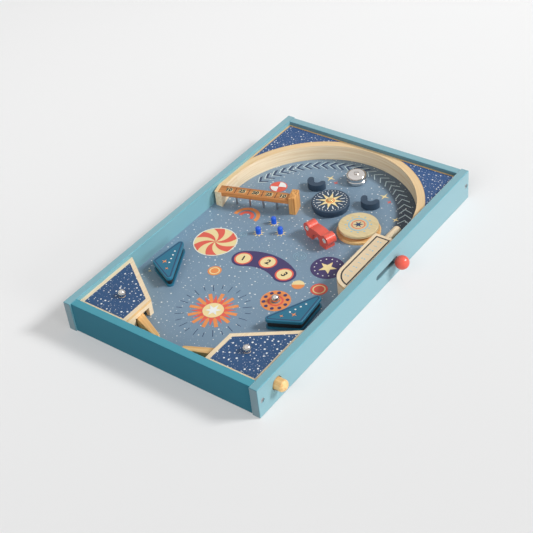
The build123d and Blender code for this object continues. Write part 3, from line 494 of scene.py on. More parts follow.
def wood_finish(name, light, dark, edge, axis, turn=0.0, contrast=2.6, ply=0.0, bent=False):
    """Lacquered wood with its grain along an axis. A cut edge may show plies of a given thickness."""
    material, tree, shader = new_finish(name)
    where = arch_place(tree) if bent else object_place(tree)
    fibre = [MM * (GRAIN_LENGTH if along == axis else GRAIN_WIDTH) for along in "xyz"]
    grain_at = mapped(tree, where, turn=math.radians(turn), scale=fibre)
    grain = place_group(tree, wood_grain, Vector=grain_at, Light=light, Dark=dark, Contrast=contrast)
    colour = grain["Color"]
    upright = calc(tree, "ABSOLUTE", face_normal(tree)[2])
    if ply:
        layer = calc(tree, "FRACT", calc(tree, "DIVIDE", split(tree, where)[2], ply * MM))
        stripe = ramp(tree, layer, 0.42, 0.58, 0.72, 1.06)
        edge_tone = mix_tones(tree, stripe, [0.62 * part for part in edge], edge)
        colour = mix_tones(tree, ramp(tree, upright, 0.35, 0.65, 0.85, 0.0), colour, edge_tone)
    elif bent:
        colour = mix_tones(tree, ramp(tree, upright, 0.5, 0.9, 0.0, 0.55), colour, edge)
    fill_sockets(tree, shader, Base_Color=colour, Roughness=grain["Roughness"])
    fill_sockets(tree, shader, Coat_Weight=0.08, Coat_Roughness=0.35)
    set_bump(tree, shader, grain["Height"], GRAIN_RELIEF)
    return material


def painted(name, colour, roughness, drift, coat=0.0, sheen=0.0, gloss=0.5, relief=PAINT_RELIEF):
    """A material with a slow drift of tone and a fine texture, its node tree, its shader and its colour."""
    material, tree, shader = new_finish(name)
    where = object_place(tree)
    skin = place_group(tree, paint_skin, Vector=where, Color=colour, Drift=drift, Roughness=roughness)
    fill_sockets(tree, shader, Base_Color=skin["Color"], Roughness=skin["Roughness"])
    fill_sockets(tree, shader, Coat_Weight=coat, Coat_Roughness=0.18, Specular_IOR_Level=gloss)
    fill_sockets(tree, shader, Sheen_Weight=sheen, Sheen_Roughness=0.6)
    set_bump(tree, shader, skin["Height"], relief)
    return material, tree, shader, skin["Color"]


def paint_finish(name, colour, **look):
    """Paint or ink of one colour."""
    return painted(name, colour, **look)[0]


def rubber_finish(name, colour, roughness):
    """Rubber with a dull bloom."""
    return paint_finish(name, colour, roughness=roughness, drift=0.5, relief=RUBBER_RELIEF)


def metal_finish(name, colour, roughness, smear):
    """Bare metal with faint smears."""
    material, tree, shader = new_finish(name)
    skin = place_group(tree, metal_skin, Vector=object_place(tree), Roughness=roughness, Smear=smear)
    fill_sockets(tree, shader, Base_Color=colour, Metallic=1.0, Roughness=skin["Roughness"])
    set_bump(tree, shader, skin["Height"], SCRATCH_RELIEF)
    return material


def gate_finish(tones):
    """The gate's red gloss, white in the bores of its two eyes."""
    material, tree, shader, red = painted("gate_gloss", tones.red, **RED_GLOSS)
    centre = Vector((*GATE_PLACE, 0.0)) * MM
    x, _, z = split(tree, mapped(tree, object_place(tree), centre, math.radians(GATE_TURN)))
    across = calc(tree, "SUBTRACT", calc(tree, "ABSOLUTE", x), GATE_EYE_OUT * MM)
    above = calc(tree, "SUBTRACT", z, GATE_EYE_UP * MM)
    bore = calc(tree, "LESS_THAN", distance(tree, across, above), GATE_BORE * MM)
    fill_sockets(tree, shader, Base_Color=mix_tones(tree, bore, red, tones.white))
    return material


def hole_walls(tree, across):
    """A mask of painted shade on the walls of the side panels' slot and button holes, from just inside the
    lip.
    """
    low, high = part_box("right_panel")
    middle = (low.z + high.z) / 2
    edge = HOLE_EDGE * MM
    x, y, z = split(tree, object_place(tree))
    limits = (
        (x, high.x, HOLE_LIP * MM),
        (y, high.y - HOLE_END * MM, edge),
        (calc(tree, "SUBTRACT", z, middle), high.z - middle - edge, edge),
    )
    mask = ramp(tree, calc(tree, "ABSOLUTE", across), 0.3, 0.6, 1.0, 0.0)
    for value, limit, fade in limits:
        within = ramp(tree, calc(tree, "ABSOLUTE", value), limit - fade, limit, 1.0, 0.0)
        mask = calc(tree, "MULTIPLY", mask, within)
    return mask


def panel_finish(name, tones, haze, **look):
    """The tray's paint, with painted shade: a deeper tone on the faces that look to the front, where less
    light falls, and on the walls of the holes.
    """
    material, tree, shader, paint = painted(name, tones.frame_paint, 0.55, 0.1, **look)
    across, back, _ = face_normal(tree)
    # Painted shade: faces that look to the front take the deeper front tone
    front = ramp(tree, back, -0.9, -0.5, 1.0, 0.0)
    painted_shade = calc(tree, "MAXIMUM", front, hole_walls(tree, across))
    colour = mix_tones(tree, painted_shade, paint, tones.front_paint)
    fill_sockets(tree, shader, Base_Color=colour, Sheen_Tint=haze)
    return material


def star_mask(tree, *layers):
    """Star dots of two layers, each with its spacing, its dots' size, its share of cells and its strength."""
    where = object_place(tree)
    masks = []
    for spacing, size, share, strength in layers:
        dots = place_group(tree, star_dots, Vector=where, Spacing=spacing, Size=size, Share=share)
        masks.append(calc(tree, "MULTIPLY", dots["Mask"], strength))
    return calc(tree, "MAXIMUM", *masks)


def star_finish(name, ground, white, spacing, size):
    """Star dots of two sizes on a dark print."""
    material, tree, shader, colour = painted(name, ground, roughness=0.5, drift=0.3, relief=PRINT_RELIEF)
    stars = star_mask(tree, (spacing, size, 0.9, 1.0), (0.58 * spacing, 0.7 * size, 0.7, 0.75))
    fill_sockets(tree, shader, Base_Color=mix_tones(tree, stars, colour, white))
    return material


def field_finish(tones, spacing):
    """The playfield's print: a blue ground with sparse stars, and the dark band under the arch."""
    skin = {"roughness": 0.46, "drift": 0.22, "relief": PRINT_RELIEF}
    material, tree, shader, blue = painted("field_print", tones.field_blue, **skin)
    across, back, _ = from_arch(tree)
    angle = calc(tree, "ARCTAN2", back, across)
    band = ramp(tree, distance(tree, across, back), BAND_EDGE[0] * MM, BAND_EDGE[1] * MM)
    for end in (ramp(tree, angle, *BAND_END, 1.0, 0.0), ramp(tree, angle, *BAND_START), BAND_STRENGTH):
        band = calc(tree, "MULTIPLY", band, end)
    ground = mix_tones(tree, band, blue, tones.band_dark)
    stars = star_mask(tree, (spacing, 0.13, 0.75, 0.95), (0.6 * spacing, 0.085, 0.6, 0.475))
    fill_sockets(tree, shader, Base_Color=mix_tones(tree, stars, ground, tones.white))
    return material


def dress(material, *nodes):
    """Give a finish to nodes of the frame."""
    for node in nodes:
        slots = frame["nodes"][node].data.materials
        slots.clear()
        slots.append(material)


# Outlines of printed shapes, in millimetres


def polar(x, y, reach, angle):
    """A point at a distance and an angle from a centre, in degrees."""
    turn = math.radians(angle)
    return (x + reach * math.cos(turn), y + reach * math.sin(turn))


def arc(x, y, radius, start, end, steps=ROUND_STEPS):
    """Points round an arc, in degrees."""
    return [polar(x, y, radius, start + (end - start) * step / steps) for step in range(steps + 1)]


def disc(x, y, radius, steps=ROUND_STEPS):
    """A round shape."""
    return arc(x, y, radius, 0, 360, steps)[:-1]


def dots_round(x, y, reach, count, radius, steps, start=0.0):
    """Small discs in a circle."""
    centres = [polar(x, y, reach, start + 360.0 * step / count) for step in range(count)]
    return [disc(*centre, radius, steps) for centre in centres]


def star(x, y, outer, inner, points=4, turn=90.0):
    """A star with straight rays."""
    reaches = (outer, inner) * points
    return [polar(x, y, reach, turn + 180.0 * step / points) for step, reach in enumerate(reaches)]


def sector(x, y, inner, outer, start, end, steps=24):
    """A piece of a ring."""
    return arc(x, y, outer, start, end, steps) + arc(x, y, inner, end, start, steps)


def plaque(x, y, inner, outer, start, end):
    """A piece of a ring with round ends."""
    middle, half = (inner + outer) / 2, (outer - inner) / 2
    first, last = arc(x, y, middle, start, end, 1)
    return (
        arc(x, y, outer, start, end, 24)
        + arc(*last, half, end, end + 180, 12)[1:-1]
        + arc(x, y, inner, end, start, 24)
        + arc(*first, half, start + 180, start + 360, 12)[1:-1]
    )


def dash(x, y, near, far, angle, width):
    """A straight stroke that points away from a centre."""
    run = polar(0.0, 0.0, 1.0, angle)
    corners = ((near, -width / 2), (far, -width / 2), (far, width / 2), (near, width / 2))
    return [(x + u * run[0] - v * run[1], y + u * run[1] + v * run[0]) for u, v in corners]


def swirl(x, y, radius, start, width, twist, steps=12):
    """A curved blade of a pinwheel."""
    out = [(radius * step / steps, start + twist * step / steps) for step in range(steps + 1)]
    home = [(reach, angle + width) for reach, angle in reversed(out[1:])]
    return [polar(x, y, *point) for point in out + home]


def rounded(corners, radius, steps=8):
    """The outline round circles at the corners of a shape, given counterclockwise."""
    outline = []
    for index, corner in enumerate(corners):
        before = corners[index - 1]
        after = corners[(index + 1) % len(corners)]
        first = math.degrees(math.atan2(corner[1] - before[1], corner[0] - before[0])) - 90
        last = math.degrees(math.atan2(after[1] - corner[1], after[0] - corner[0])) - 90
        outline += arc(*corner, radius, first, first + (last - first) % 360, steps)
    return outline


def chevron(angle, inner, outer, lead, thick):
    """One bent stroke of the row under the arch, its point leading counterclockwise."""
    path = ((inner, angle - lead), ((inner + outer) / 2, angle), (outer, angle - lead))
    trail = [(reach, turn - thick) for reach, turn in reversed(path)]
    return [polar(*ARCH_CENTRE, *point) for point in (*path, *trail)]


def ring(outline, width):
    """A printed line just inside an outline."""
    return {"outline": outline, "inset": width, "keep": "rim"}


def core(outline, width):
    """What lies inside an outline, in from its edge."""
    return {"outline": outline, "inset": width, "keep": "middle"}


def mirrored(outline):
    """An outline on the other side of the game."""
    return [(-x, y) for x, y in reversed(outline)]


# Modelling


def middle_top(node):
    """The middle and the top of a node, in millimetres."""
    low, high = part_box(node)
    middle = (low + high) / 2
    return middle.x / MM, middle.y / MM, high.z / MM


def facing_up(outline):
    """The outline, counterclockwise."""
    area = sum(a[0] * b[1] - b[0] * a[1] for a, b in zip(outline, outline[1:] + outline[:1]))
    return outline if area > 0 else outline[::-1]


def draw_shape(outline):
    """Add one flat shape to the mesh in edit mode and leave it selected."""
    points = facing_up(outline)
    bpy.ops.mesh.select_all(action="DESELECT")
    bpy.ops.mesh.primitive_circle_add(vertices=len(points), radius=MM, fill_type="NGON")
    mesh = bmesh.from_edit_mesh(bpy.context.object.data)
    drawn = next(face for face in mesh.faces if face.select)
    for corner, point in zip(drawn.loops, points):
        corner.vert.co = (point[0] * MM, point[1] * MM, 0.0)
    mesh.normal_update()
    bmesh.update_edit_mesh(bpy.context.object.data)


def trim_shape(inset, keep):
    """Inset the selected shape and keep its rim, or its middle where it is the sheet's only shape."""
    bpy.ops.mesh.inset(thickness=inset * MM, use_even_offset=True)
    if keep == "middle":
        bpy.ops.mesh.select_all(action="INVERT")
    bpy.ops.mesh.delete(type="FACE")


def name_piece(name):
    """Name the piece that was just made."""
    piece = bpy.context.object
    piece.name = name
    piece.data.name = name
    return piece


def finish_modifier(piece, kind, **settings):
    """Add a modifier to the active piece and apply it."""
    modifier = piece.modifiers.new(kind.title(), kind)
    for name, value in settings.items():
        setattr(modifier, name, value)
    bpy.ops.object.modifier_apply(modifier=modifier.name)


def thicken(piece):
    """Give a flat print the thickness of its ink."""
    finish_modifier(piece, "SOLIDIFY", thickness=bpy.context.scene.pinball_sizes.ink, offset=1.0)


def settle(piece, material, body="cabinet"):
    """Give a finished piece its material and the body that it rides on."""
    piece.data.materials.clear()
    piece.data.materials.append(material)
    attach(piece, body)


def print_layer(name, shapes, height, material, body="cabinet", holes=(), place=None):
    """One printed ink: flat shapes at a height, as a thin sheet that rides on a body."""
    bpy.ops.object.select_all(action="DESELECT")
    bpy.ops.mesh.primitive_circle_add(vertices=3, radius=MM, fill_type="NGON")
    piece = name_piece(name)
    bpy.ops.object.mode_set(mode="EDIT")
    bpy.ops.mesh.select_mode(type="FACE")
    bpy.ops.mesh.select_all(action="SELECT")
    bpy.ops.mesh.delete(type="VERT")
    for shape in shapes:
        trimmed = isinstance(shape, dict)
        draw_shape(shape["outline"] if trimmed else shape)
        if trimmed:
            trim_shape(shape["inset"], shape["keep"])
    bpy.ops.mesh.select_all(action="SELECT")
    bpy.ops.transform.translate(value=(0.0, 0.0, height * MM))
    bpy.ops.object.mode_set(mode="OBJECT")
    thicken(piece)
    for x, y, radius in holes:
        cut_hole(piece, Vector((x, y, height)) * MM, radius * MM)
    if place:
        piece.data.transform(place)
    settle(piece, material, body)


def cut_hole(piece, centre, radius):
    """Cut a round hole through a printed sheet."""
    size = {"radius": radius, "depth": PUNCH * MM}
    bpy.ops.mesh.primitive_cylinder_add(vertices=ROUND_STEPS, location=centre, **size)
    punch = bpy.context.object
    bpy.ops.object.select_all(action="DESELECT")
    bpy.context.view_layer.objects.active = piece
    piece.select_set(True)
    finish_modifier(piece, "BOOLEAN", object=punch, operation="DIFFERENCE", solver="EXACT")
    bpy.data.objects.remove(punch)


def numeral(name, text, spot, size, material, slot, turn=0.0, bold=0.024):
    """A printed number, as a thin sheet. Its strokes grow by a share of its size."""
    bpy.ops.object.select_all(action="DESELECT")
    bpy.ops.object.text_add()
    letters = bpy.context.object.data
    letters.body = text
    letters.align_x = "CENTER"
    letters.align_y = "CENTER"
    letters.size = size
    letters.offset = bold * size
    bpy.ops.object.convert(target="MESH")
    piece = name_piece(name)
    turned = Matrix.Rotation(math.radians(turn), 4, "Z")
    piece.data.transform(Matrix.Translation(Vector(spot) * MM) @ turned)
    thicken(piece)
    settle(piece, material)


def ink_of(name):
    """The material of an ink, made the first time that it is asked for."""
    made = bpy.data.materials.get("ink_" + name)
    tones = bpy.context.scene.pinball_tones
    return made or paint_finish("ink_" + name, getattr(tones, name), roughness=0.5, drift=0.2)


def layered(prefix, base, layers, body="cabinet", holes=()):
    """Printed inks one over the other on a face."""
    lift = bpy.context.scene.pinball_sizes.lift / MM
    for step, (ink, shapes) in enumerate(layers):
        height = base + (FIRST_LIFT + step) * lift
        print_layer(f"{prefix}_{step}_{ink}", shapes, height, ink_of(ink), body, holes)


# Motifs of the playfield's print, each with its shapes by layer


def number_row():
    """Numbered discs on a plum plaque."""
    return {
        "plum": [plaque(*NUMBER_HUB, inner=46.6, outer=79.0, start=57.2, end=122.8)],
        "coral": [disc(x, y, 12.6) for _, x, y, _ in NUMBERS],
        "cream": [disc(x, y, 10.4) for _, x, y, _ in NUMBERS],
    }


def burst():
    """A star in a ring of rays and dashes."""
    dashes = [
        dash(*BURST, near=38.0 + 4.0 * (step % 2), far=50.0, angle=7.5 + 15.0 * step, width=1.0)
        for step in range(24)
    ]
    rays = [dash(*BURST, near=15.0, far=33.0, angle=15.0 + 30.0 * step, width=5.0) for step in range(12)]
    return {
        "deep": dashes,
        "orange": rays,
        "coral": [star(*BURST, outer=30.0, inner=13.5, points=12)],
        "cream": [disc(*BURST, 14.0)],
        "white": [star(*BURST, outer=11.0, inner=4.6, points=6)],
    }


def target():
    """Rings and dots round the ball's seat."""
    return {
        "orange": [ring(disc(*TARGET, 20.0), 14.4)],
        "coral": [ring(disc(*TARGET, 10.6), 2.6)],
        "top plum": dots_round(*TARGET, reach=15.5, count=10, radius=2.5, steps=16),
    }


def pinwheel():
    """Curved blades on a cream disc."""
    face = disc(*PINWHEEL, 31.0)
    blades = [swirl(*PINWHEEL, radius=29.8, start=60.0 * step, width=30.0, twist=42.0) for step in range(6)]
    return {"cream": [face], "top coral": blades, "white": [ring(face, 1.2)]}


def night_disc():
    """A star in a ring of dots on a plum disc."""
    return {
        "plum": [disc(*NIGHT_DISC, 23.0)],
        "cream": [star(*NIGHT_DISC, outer=13.0, inner=5.4, points=5)],
        "white": dots_round(*NIGHT_DISC, reach=17.5, count=14, radius=1.0, steps=10),
    }


def small_discs():
    """Two ringed discs, a half one and a quartered one."""
    half = sector(*HALF_DISC, inner=0.2, outer=8.6, start=30.0, end=210.0)
    quarters = [sector(*QUARTERED_DISC, 0.2, 11.4, start, start + 90.0) for start in (20.0, 200.0)]
    return {
        "orange": [disc(*HALF_DISC, 8.6), disc(*SMALL_DISC, 9.5)],
        "coral": [disc(*RED_DISC, 11.5), disc(*QUARTERED_DISC, 13.0)],
        "cream": [ring(disc(*RED_DISC, 8.6), 1.6), half, ring(disc(*SMALL_DISC, 7.2), 1.7)],
        "white": quarters,
    }


def bow():
    """Two bent bands."""
    return {
        "orange": [sector(*BOW, inner=14.5, outer=20.0, start=-10.0, end=190.0)],
        "coral": [sector(*BOW, inner=6.5, outer=11.5, start=-10.0, end=190.0)],
    }


def sparks():
    """Stars under the pegs, loose sparks and thin rings."""
    return {
        "coral": [star(*spark) for spark in CORAL_SPARKS],
        "cream": [
            *(star(*peg, outer=8.6, inner=4.2, points=8) for peg in PEGS),
            *(star(*spark) for spark in CREAM_SPARKS),
        ],
        "sky": [ring(disc(x, y, radius), 0.5) for x, y, radii in THIN_RINGS for radius in radii],
    }


def chevrons():
    """The row of chevrons under the arch, on dark ones where the dark band has faded."""
    turns = [24.0 + 5.8 * step for step in range(26)]
    dark = [chevron(turn, inner=114.6, outer=131.0, lead=4.2, thick=3.0) for turn in turns if turn > 92.0]
    light = [chevron(turn, inner=114.2, outer=131.6, lead=4.2, thick=0.9) for turn in turns]
    return {"deep": dark, "mist": light}


def field_design():
    """The playfield's inks, from the lowest to the highest."""
    made = (number_row, burst, target, pinwheel, night_disc, small_discs, bow, sparks, chevrons)
    motifs = [make() for make in made]
    order = ("deep", "plum", "orange", "coral", "cream", "sky", "mist", "top coral", "top plum", "white")
    return [
        (layer.split()[-1], [shape for motif in motifs for shape in motif.get(layer, ())]) for layer in order
    ]


# Operators


class PINBALL_OT_paintwork(bpy.types.Operator):
    """Paint the tray's panels and the painted game pieces"""

    bl_idname = "pinball.paintwork"
    bl_label = "Paintwork"

    def execute(self, context):
        tones = context.scene.pinball_tones
        panels = ("left_panel", "right_panel", "back_panel")
        # Both paints carry painted shade: the deeper front tone on the faces that look to the front and in
        # the holes
        dress(panel_finish("frame_paint", tones, tones.white, coat=0.2, sheen=1.0, gloss=0.3), *panels)
        dress(panel_finish("front_paint", tones, tones.sky, coat=0.0, sheen=0.45, gloss=0.15), "front_panel")
        teal = [f"{side}_sling_{layer}" for side, _ in SIDES for layer in ("base", "plate")]
        dress(paint_finish("teal_paint", tones.teal_plate, roughness=0.42, drift=0.2), *teal)
        slate = [f"{side}_crescent_{layer}" for side, _ in SIDES for layer in ("base", "cap")]
        slate_paint = paint_finish("slate_paint", tones.slate, roughness=0.45, drift=0.22)
        dress(slate_paint, "compass_base", "compass_disc", *slate)
        dress(paint_finish("red_gloss", tones.red, **RED_GLOSS), "launch_knob")
        dress(gate_finish(tones), "red_gate")
        dress(paint_finish("blue_gloss", tones.blue, roughness=0.3, drift=0.12, coat=0.3), "blue_pegs")
        return {"FINISHED"}


class PINBALL_OT_woodwork(bpy.types.Operator):
    """Finish the bare and stained wood, each piece with its own run of grain"""

    bl_idname = "pinball.woodwork"
    bl_label = "Woodwork"

    def execute(self, context):
        tones = context.scene.pinball_tones
        pale = (tones.wood_light, tones.wood_dark, tones.wood_edge)
        stain = (tones.stain_light, tones.stain_dark, tones.stain_dark)
        honey = (tones.honey_light, tones.honey_dark, tones.honey_dark)
        sand = (tones.sand_light, tones.sand_dark, tones.sand_dark)
        bark = (tones.bark_light, tones.bark_dark, tones.bark_dark)
        dress(wood_finish("wood_bent", *pale, axis="x", bent=True, contrast=3.0), "arch_rail")
        covers = ("left_cover", "right_cover", "launcher_cover")
        dress(wood_finish("wood_ply", *pale, axis="y", contrast=2.0, ply=PLY), *covers)
        corners = ("back_left_board", "back_right_board")
        dress(wood_finish("honey_ply", *honey, axis="y", contrast=2.0, ply=PLY), *corners)
        walls = ("left_guide_wall", "right_guide_wall", "launcher_wall", "launcher_guide", "corner_blocks")
        dress(wood_finish("wood_along_y", *pale, axis="y", contrast=1.5), *walls, "plunger_rod")
        dress(wood_finish("wood_along_x", *pale, axis="x", contrast=2.8), "button_guides")
        dress(wood_finish("sand_along_x", *sand, axis="x", contrast=2.8), "spool_cap")
        dress(wood_finish("bark_upright", *bark, axis="z", contrast=4.4), "score_post")
        turned = ("left_button", "right_button", "spool_base")
        dress(wood_finish("honey_along_x", *honey, axis="x", contrast=3.0), *turned)
        for side, sign in SIDES:
            blade = wood_finish(f"honey_{side}_blade", *honey, axis="x", turn=FLIPPER_LEAN * sign)
            dress(blade, f"{side}_flipper")
        dress(wood_finish("wood_stained", *stain, axis="x", turn=SCORE_TURN, contrast=3.4), "score_bar")
        return {"FINISHED"}


class PINBALL_OT_metal_and_rubber(bpy.types.Operator):
    """Finish the balls, the bell, the fittings and the rubber rings"""

    bl_idname = "pinball.metal_and_rubber"
    bl_label = "Metal and Rubber"

    def execute(self, context):
        bright = metal_finish("bright_steel", (0.72, 0.68, 0.65), roughness=0.06, smear=0.1)
        dress(bright, "left_ball", "right_ball", "target_ball", "bell_gong", "bell_screw")
        plain = metal_finish("plain_steel", (0.56, 0.56, 0.58), roughness=0.28, smear=0.2)
        dress(plain, *SPRING_TURNS, "spring_seat", "knob_stem", "frame_screws", "flipper_pins")
        dress(plain, "left_stop_pin", "right_stop_pin", "bell_post", "score_dividers")
        dress(metal_finish("brass_cap", (0.83, 0.62, 0.3), roughness=0.2, smear=0.15), "compass_axle")
        dress(rubber_finish("black_rubber", tone(30, 30, 33), 0.6), "left_sling_band", "right_sling_band")
        dress(rubber_finish("amber_rubber", tone(176, 98, 36), 0.42), "spool_ring")
        return {"FINISHED"}


class PINBALL_OT_field_print(bpy.types.Operator):
    """Print the playfield: stars, discs, numbers and bursts"""

    bl_idname = "pinball.field_print"
    bl_label = "Playfield Print"

    def execute(self, context):
        sizes = context.scene.pinball_sizes
        slot = "playfield_print"
        dress(field_finish(context.scene.pinball_tones, sizes.field_star_spacing), "playfield")
        layered("field", FIELD_TOP, field_design())
        for text, x, y, turn in NUMBERS:
            spot = (x, y, FIELD_TOP + NUMBER_LIFT)
            numeral(f"field_number_{text}", text, spot, sizes.disc_numeral, ink_of("black"), slot, turn)
        return {"FINISHED"}


class PINBALL_OT_star_prints(bpy.types.Operator):
    """Print the stars on the front covers and the corner boards"""

    bl_idname = "pinball.star_prints"
    bl_label = "Star Prints"

    def execute(self, context):
        sizes = context.scene.pinball_sizes
        tones = context.scene.pinball_tones
        height = COVER_TOP + sizes.lift / MM
        stars = star_finish("cover_stars", tones.navy, tones.white, sizes.star_spacing, 0.17)
        for side, sign in SIDES:
            shape = [core(self.cover(sign), sizes.cover_border / MM)]
            hole = (sign * BALL_SEAT[0], BALL_SEAT[1], sizes.ball_hole / MM)
            print_layer(f"{side}_cover_print", shape, height, stars, holes=[hole])
        stars = star_finish("board_stars", tones.board_navy, tones.white, sizes.board_star_spacing, 0.18)
        for side, sign in SIDES:
            shape = [self.corner_board(sign, sizes.board_border / MM)]
            print_layer(f"back_{side}_print", shape, height, stars)
        return {"FINISHED"}

    def cover(self, sign):
        """The outline of a front cover."""
        low, high = (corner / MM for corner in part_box("right_cover"))
        outline = [(high.x, high.y), (low.x, COVER_SHOULDER), (low.x, low.y), (high.x, low.y)]
        return outline if sign > 0 else mirrored(outline)

    def corner_board(self, sign, border):
        """The outline of a corner board's print, behind the arch."""
        wall = sign * (INNER_SIDE - border)
        end = INNER_BACK - border
        low = math.degrees(math.acos((wall - ARCH_CENTRE[0]) / BOARD_REACH))
        high = math.degrees(math.asin((end - ARCH_CENTRE[1]) / BOARD_REACH))
        return [(wall, end), *arc(*ARCH_CENTRE, BOARD_REACH, low, high if sign > 0 else 180.0 - high)]


class PINBALL_OT_compass_print(bpy.types.Operator):
    """Print the star on the spinning disc"""

    bl_idname = "pinball.compass_print"
    bl_label = "Compass Print"

    def execute(self, context):
        x, y, top = middle_top("compass_disc")
        rays = [dash(x, y, near=13.6, far=20.8, angle=22.5 * step, width=1.25) for step in range(16)]
        dots = dots_round(x, y, reach=23.4, count=32, radius=0.75, steps=10, start=5.625)
        layers = [
            ("white", rays + dots),
            ("cream", [star(x, y, outer=18.4, inner=7.4, points=8, turn=67.5)]),
            ("orange", [ring(disc(x, y, 6.4), 1.7)]),
        ]
        axle_hole = (x, y, 2.7)
        layered("compass", top, layers, "spinner", [axle_hole])
        return {"FINISHED"}


class PINBALL_OT_sling_prints(bpy.types.Operator):
    """Print the outline and marks on the two slingshots"""

    bl_idname = "pinball.sling_prints"
    bl_label = "Slingshot Prints"

    def execute(self, context):
        _, _, top = middle_top("right_sling_plate")
        line = rounded(SLING_LINE, 2.9)
        marks = [disc(108.0 - 3.0 * step, -84.0 - 7.5 * step, 1.3, 12) for step in range(4)]
        spark = [star(*place) for place in SLING_SPARKS]
        for side, sign in SIDES:
            turn = mirrored if sign < 0 else list
            layers = [
                ("deep", [ring(turn(line), 1.5)]),
                ("white", [turn(mark) for mark in marks]),
                ("orange", [turn(mark) for mark in spark]),
            ]
            layered(f"{side}_sling", top, layers)
        return {"FINISHED"}


class PINBALL_OT_spool_print(bpy.types.Operator):
    """Print the rings on the spool's cap"""

    bl_idname = "pinball.spool_print"
    bl_label = "Spool Print"

    def execute(self, context):
        x, y, top = middle_top("spool_cap")
        dots = dots_round(x, y, reach=17.5, count=12, radius=1.3, steps=14)
        layers = [
            ("sky", [ring(disc(x, y, 14.2), 2.0), *dots]),
            ("coral", [ring(disc(x, y, 9.6), 1.3)]),
            ("deep", [star(x, y, outer=7.0, inner=2.6, points=6)]),
        ]
        layered("spool", top, layers)
        return {"FINISHED"}


class PINBALL_OT_launcher_print(bpy.types.Operator):
    """Print the line and the scale on the plunger's cover"""

    bl_idname = "pinball.launcher_print"
    bl_label = "Plunger Cover Print"

    def execute(self, context):
        _, _, top = middle_top("launcher_cover")
        bend = arc(*LAUNCHER_BEND, 180.0, 257.0, 20)
        far = [(LAUNCHER_SIDE, LAUNCHER_BACK), (bend[0][0], LAUNCHER_BACK)]
        line = [*far, *bend, (LAUNCHER_SIDE, bend[-1][1])]
        dots = [
            disc(LAUNCHER_MIDDLE + out, -20.0 + LAUNCHER_STEP * step, 1.1, 12)
            for step in range(5)
            for out in (-2.0, 2.0)
        ]
        bars = [
            dash(LAUNCHER_MIDDLE, -10.2 + LAUNCHER_STEP * step, near=-2.6, far=2.6, angle=0.0, width=0.8)
            for step in range(4)
        ]
        layers = [("peach", [line]), ("black", [ring(line, 2.0)]), ("sky", dots + bars)]
        layered("launcher", top, layers)
        return {"FINISHED"}


class PINBALL_OT_score_numbers(bpy.types.Operator):
    """Print the numbers on the scoring bar"""

    bl_idname = "pinball.score_numbers"
    bl_label = "Score Numbers"

    def execute(self, context):
        sizes = context.scene.pinball_sizes
        slot = "stained_wood"
        top = middle_top("score_bar")[2] + FIRST_LIFT * sizes.lift / MM
        grounds = (("ground", "cream", top, 0.11), ("ink", "black", top + sizes.lift / MM, 0.045))
        lines = []
        for step, text in enumerate(SCORE_TEXTS):
            x, y = self.along(step + 0.5)
            for layer, ink, height, bold in grounds:
                name = f"score_{step}_{text}_{layer}"
                numeral(name, text, (x, y, height), sizes.numeral, ink_of(ink), slot, SCORE_TURN, bold)
            if step:
                half = SCORE_LINE / 2
                lines.append(dash(*self.along(step), -half, half, angle=SCORE_TURN + 90.0, width=0.9))
        print_layer("score_lines", lines, top, ink_of("black"))
        return {"FINISHED"}

    def along(self, lanes):
        """The point so many lanes along the bar from its post."""
        return polar(*SCORE_START, -(SCORE_FACE + SCORE_PITCH * lanes), SCORE_TURN)


class PINBALL_OT_springs(bpy.types.Operator):
    """Wind the springs that shorten as the buttons and the plunger move"""

    bl_idname = "pinball.springs"
    bl_label = "Springs"

    def execute(self, context):
        wire = context.scene.pinball_sizes.wire
        for joint in frame["record"]["behaviour"]["joints"]:
            for deforming in joint.get("deforming_nodes", ()):
                self.fit(joint, deforming, wire)
        return {"FINISHED"}

    def fit(self, joint, deforming, wire):
        """A coil in the place of a spring's solid, wound from its fixed end."""
        node = deforming["node"]
        axis = deforming["mode"][-1]
        low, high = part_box(node)
        middle = (low + high) / 2
        anchor = middle.copy()
        anchor["xyz".index(axis)] = deforming[f"fixed_end_{axis}_m"]
        reach = middle - anchor
        length = 2 * reach.length
        piece = self.wind(node, high.z - low.z - wire, length, wire)
        turned = Vector((0.0, 0.0, 1.0)).rotation_difference(reach).to_matrix().to_4x4()
        piece.data.transform(Matrix.Translation(anchor) @ turned)
        settle(piece, frame["nodes"][node].data.materials[0])
        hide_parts(node)
        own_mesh(piece)

    def wind(self, node, diameter, length, wire):
        """A coil that stands at the origin, wound up Z."""
        end = 0.8 * wire
        turns = SPRING_TURNS[node]
        pitch = (length - 2 * end) / turns
        bpy.ops.object.select_all(action="DESELECT")
        bpy.ops.mesh.primitive_circle_add(
            vertices=8, radius=wire / 2, location=(diameter / 2, 0.0, end), rotation=(math.pi / 2, 0.0, 0.0)
        )
        bpy.ops.object.transform_apply(location=True, rotation=True)
        piece = name_piece(node + "_coil")
        rise = {"axis": "Z", "angle": math.tau, "screw_offset": pitch, "iterations": turns}
        finish_modifier(piece, "SCREW", steps=22, render_steps=22, **rise)
        bpy.ops.object.mode_set(mode="EDIT")
        bpy.ops.mesh.select_all(action="SELECT")
        bpy.ops.mesh.remove_doubles(threshold=0.01 * MM)
        bpy.ops.mesh.fill_holes(sides=8)
        bpy.ops.mesh.normals_make_consistent(inside=False)
        bpy.ops.object.mode_set(mode="OBJECT")
        bpy.ops.object.shade_smooth_by_angle(angle=math.radians(40.0))
        return piece


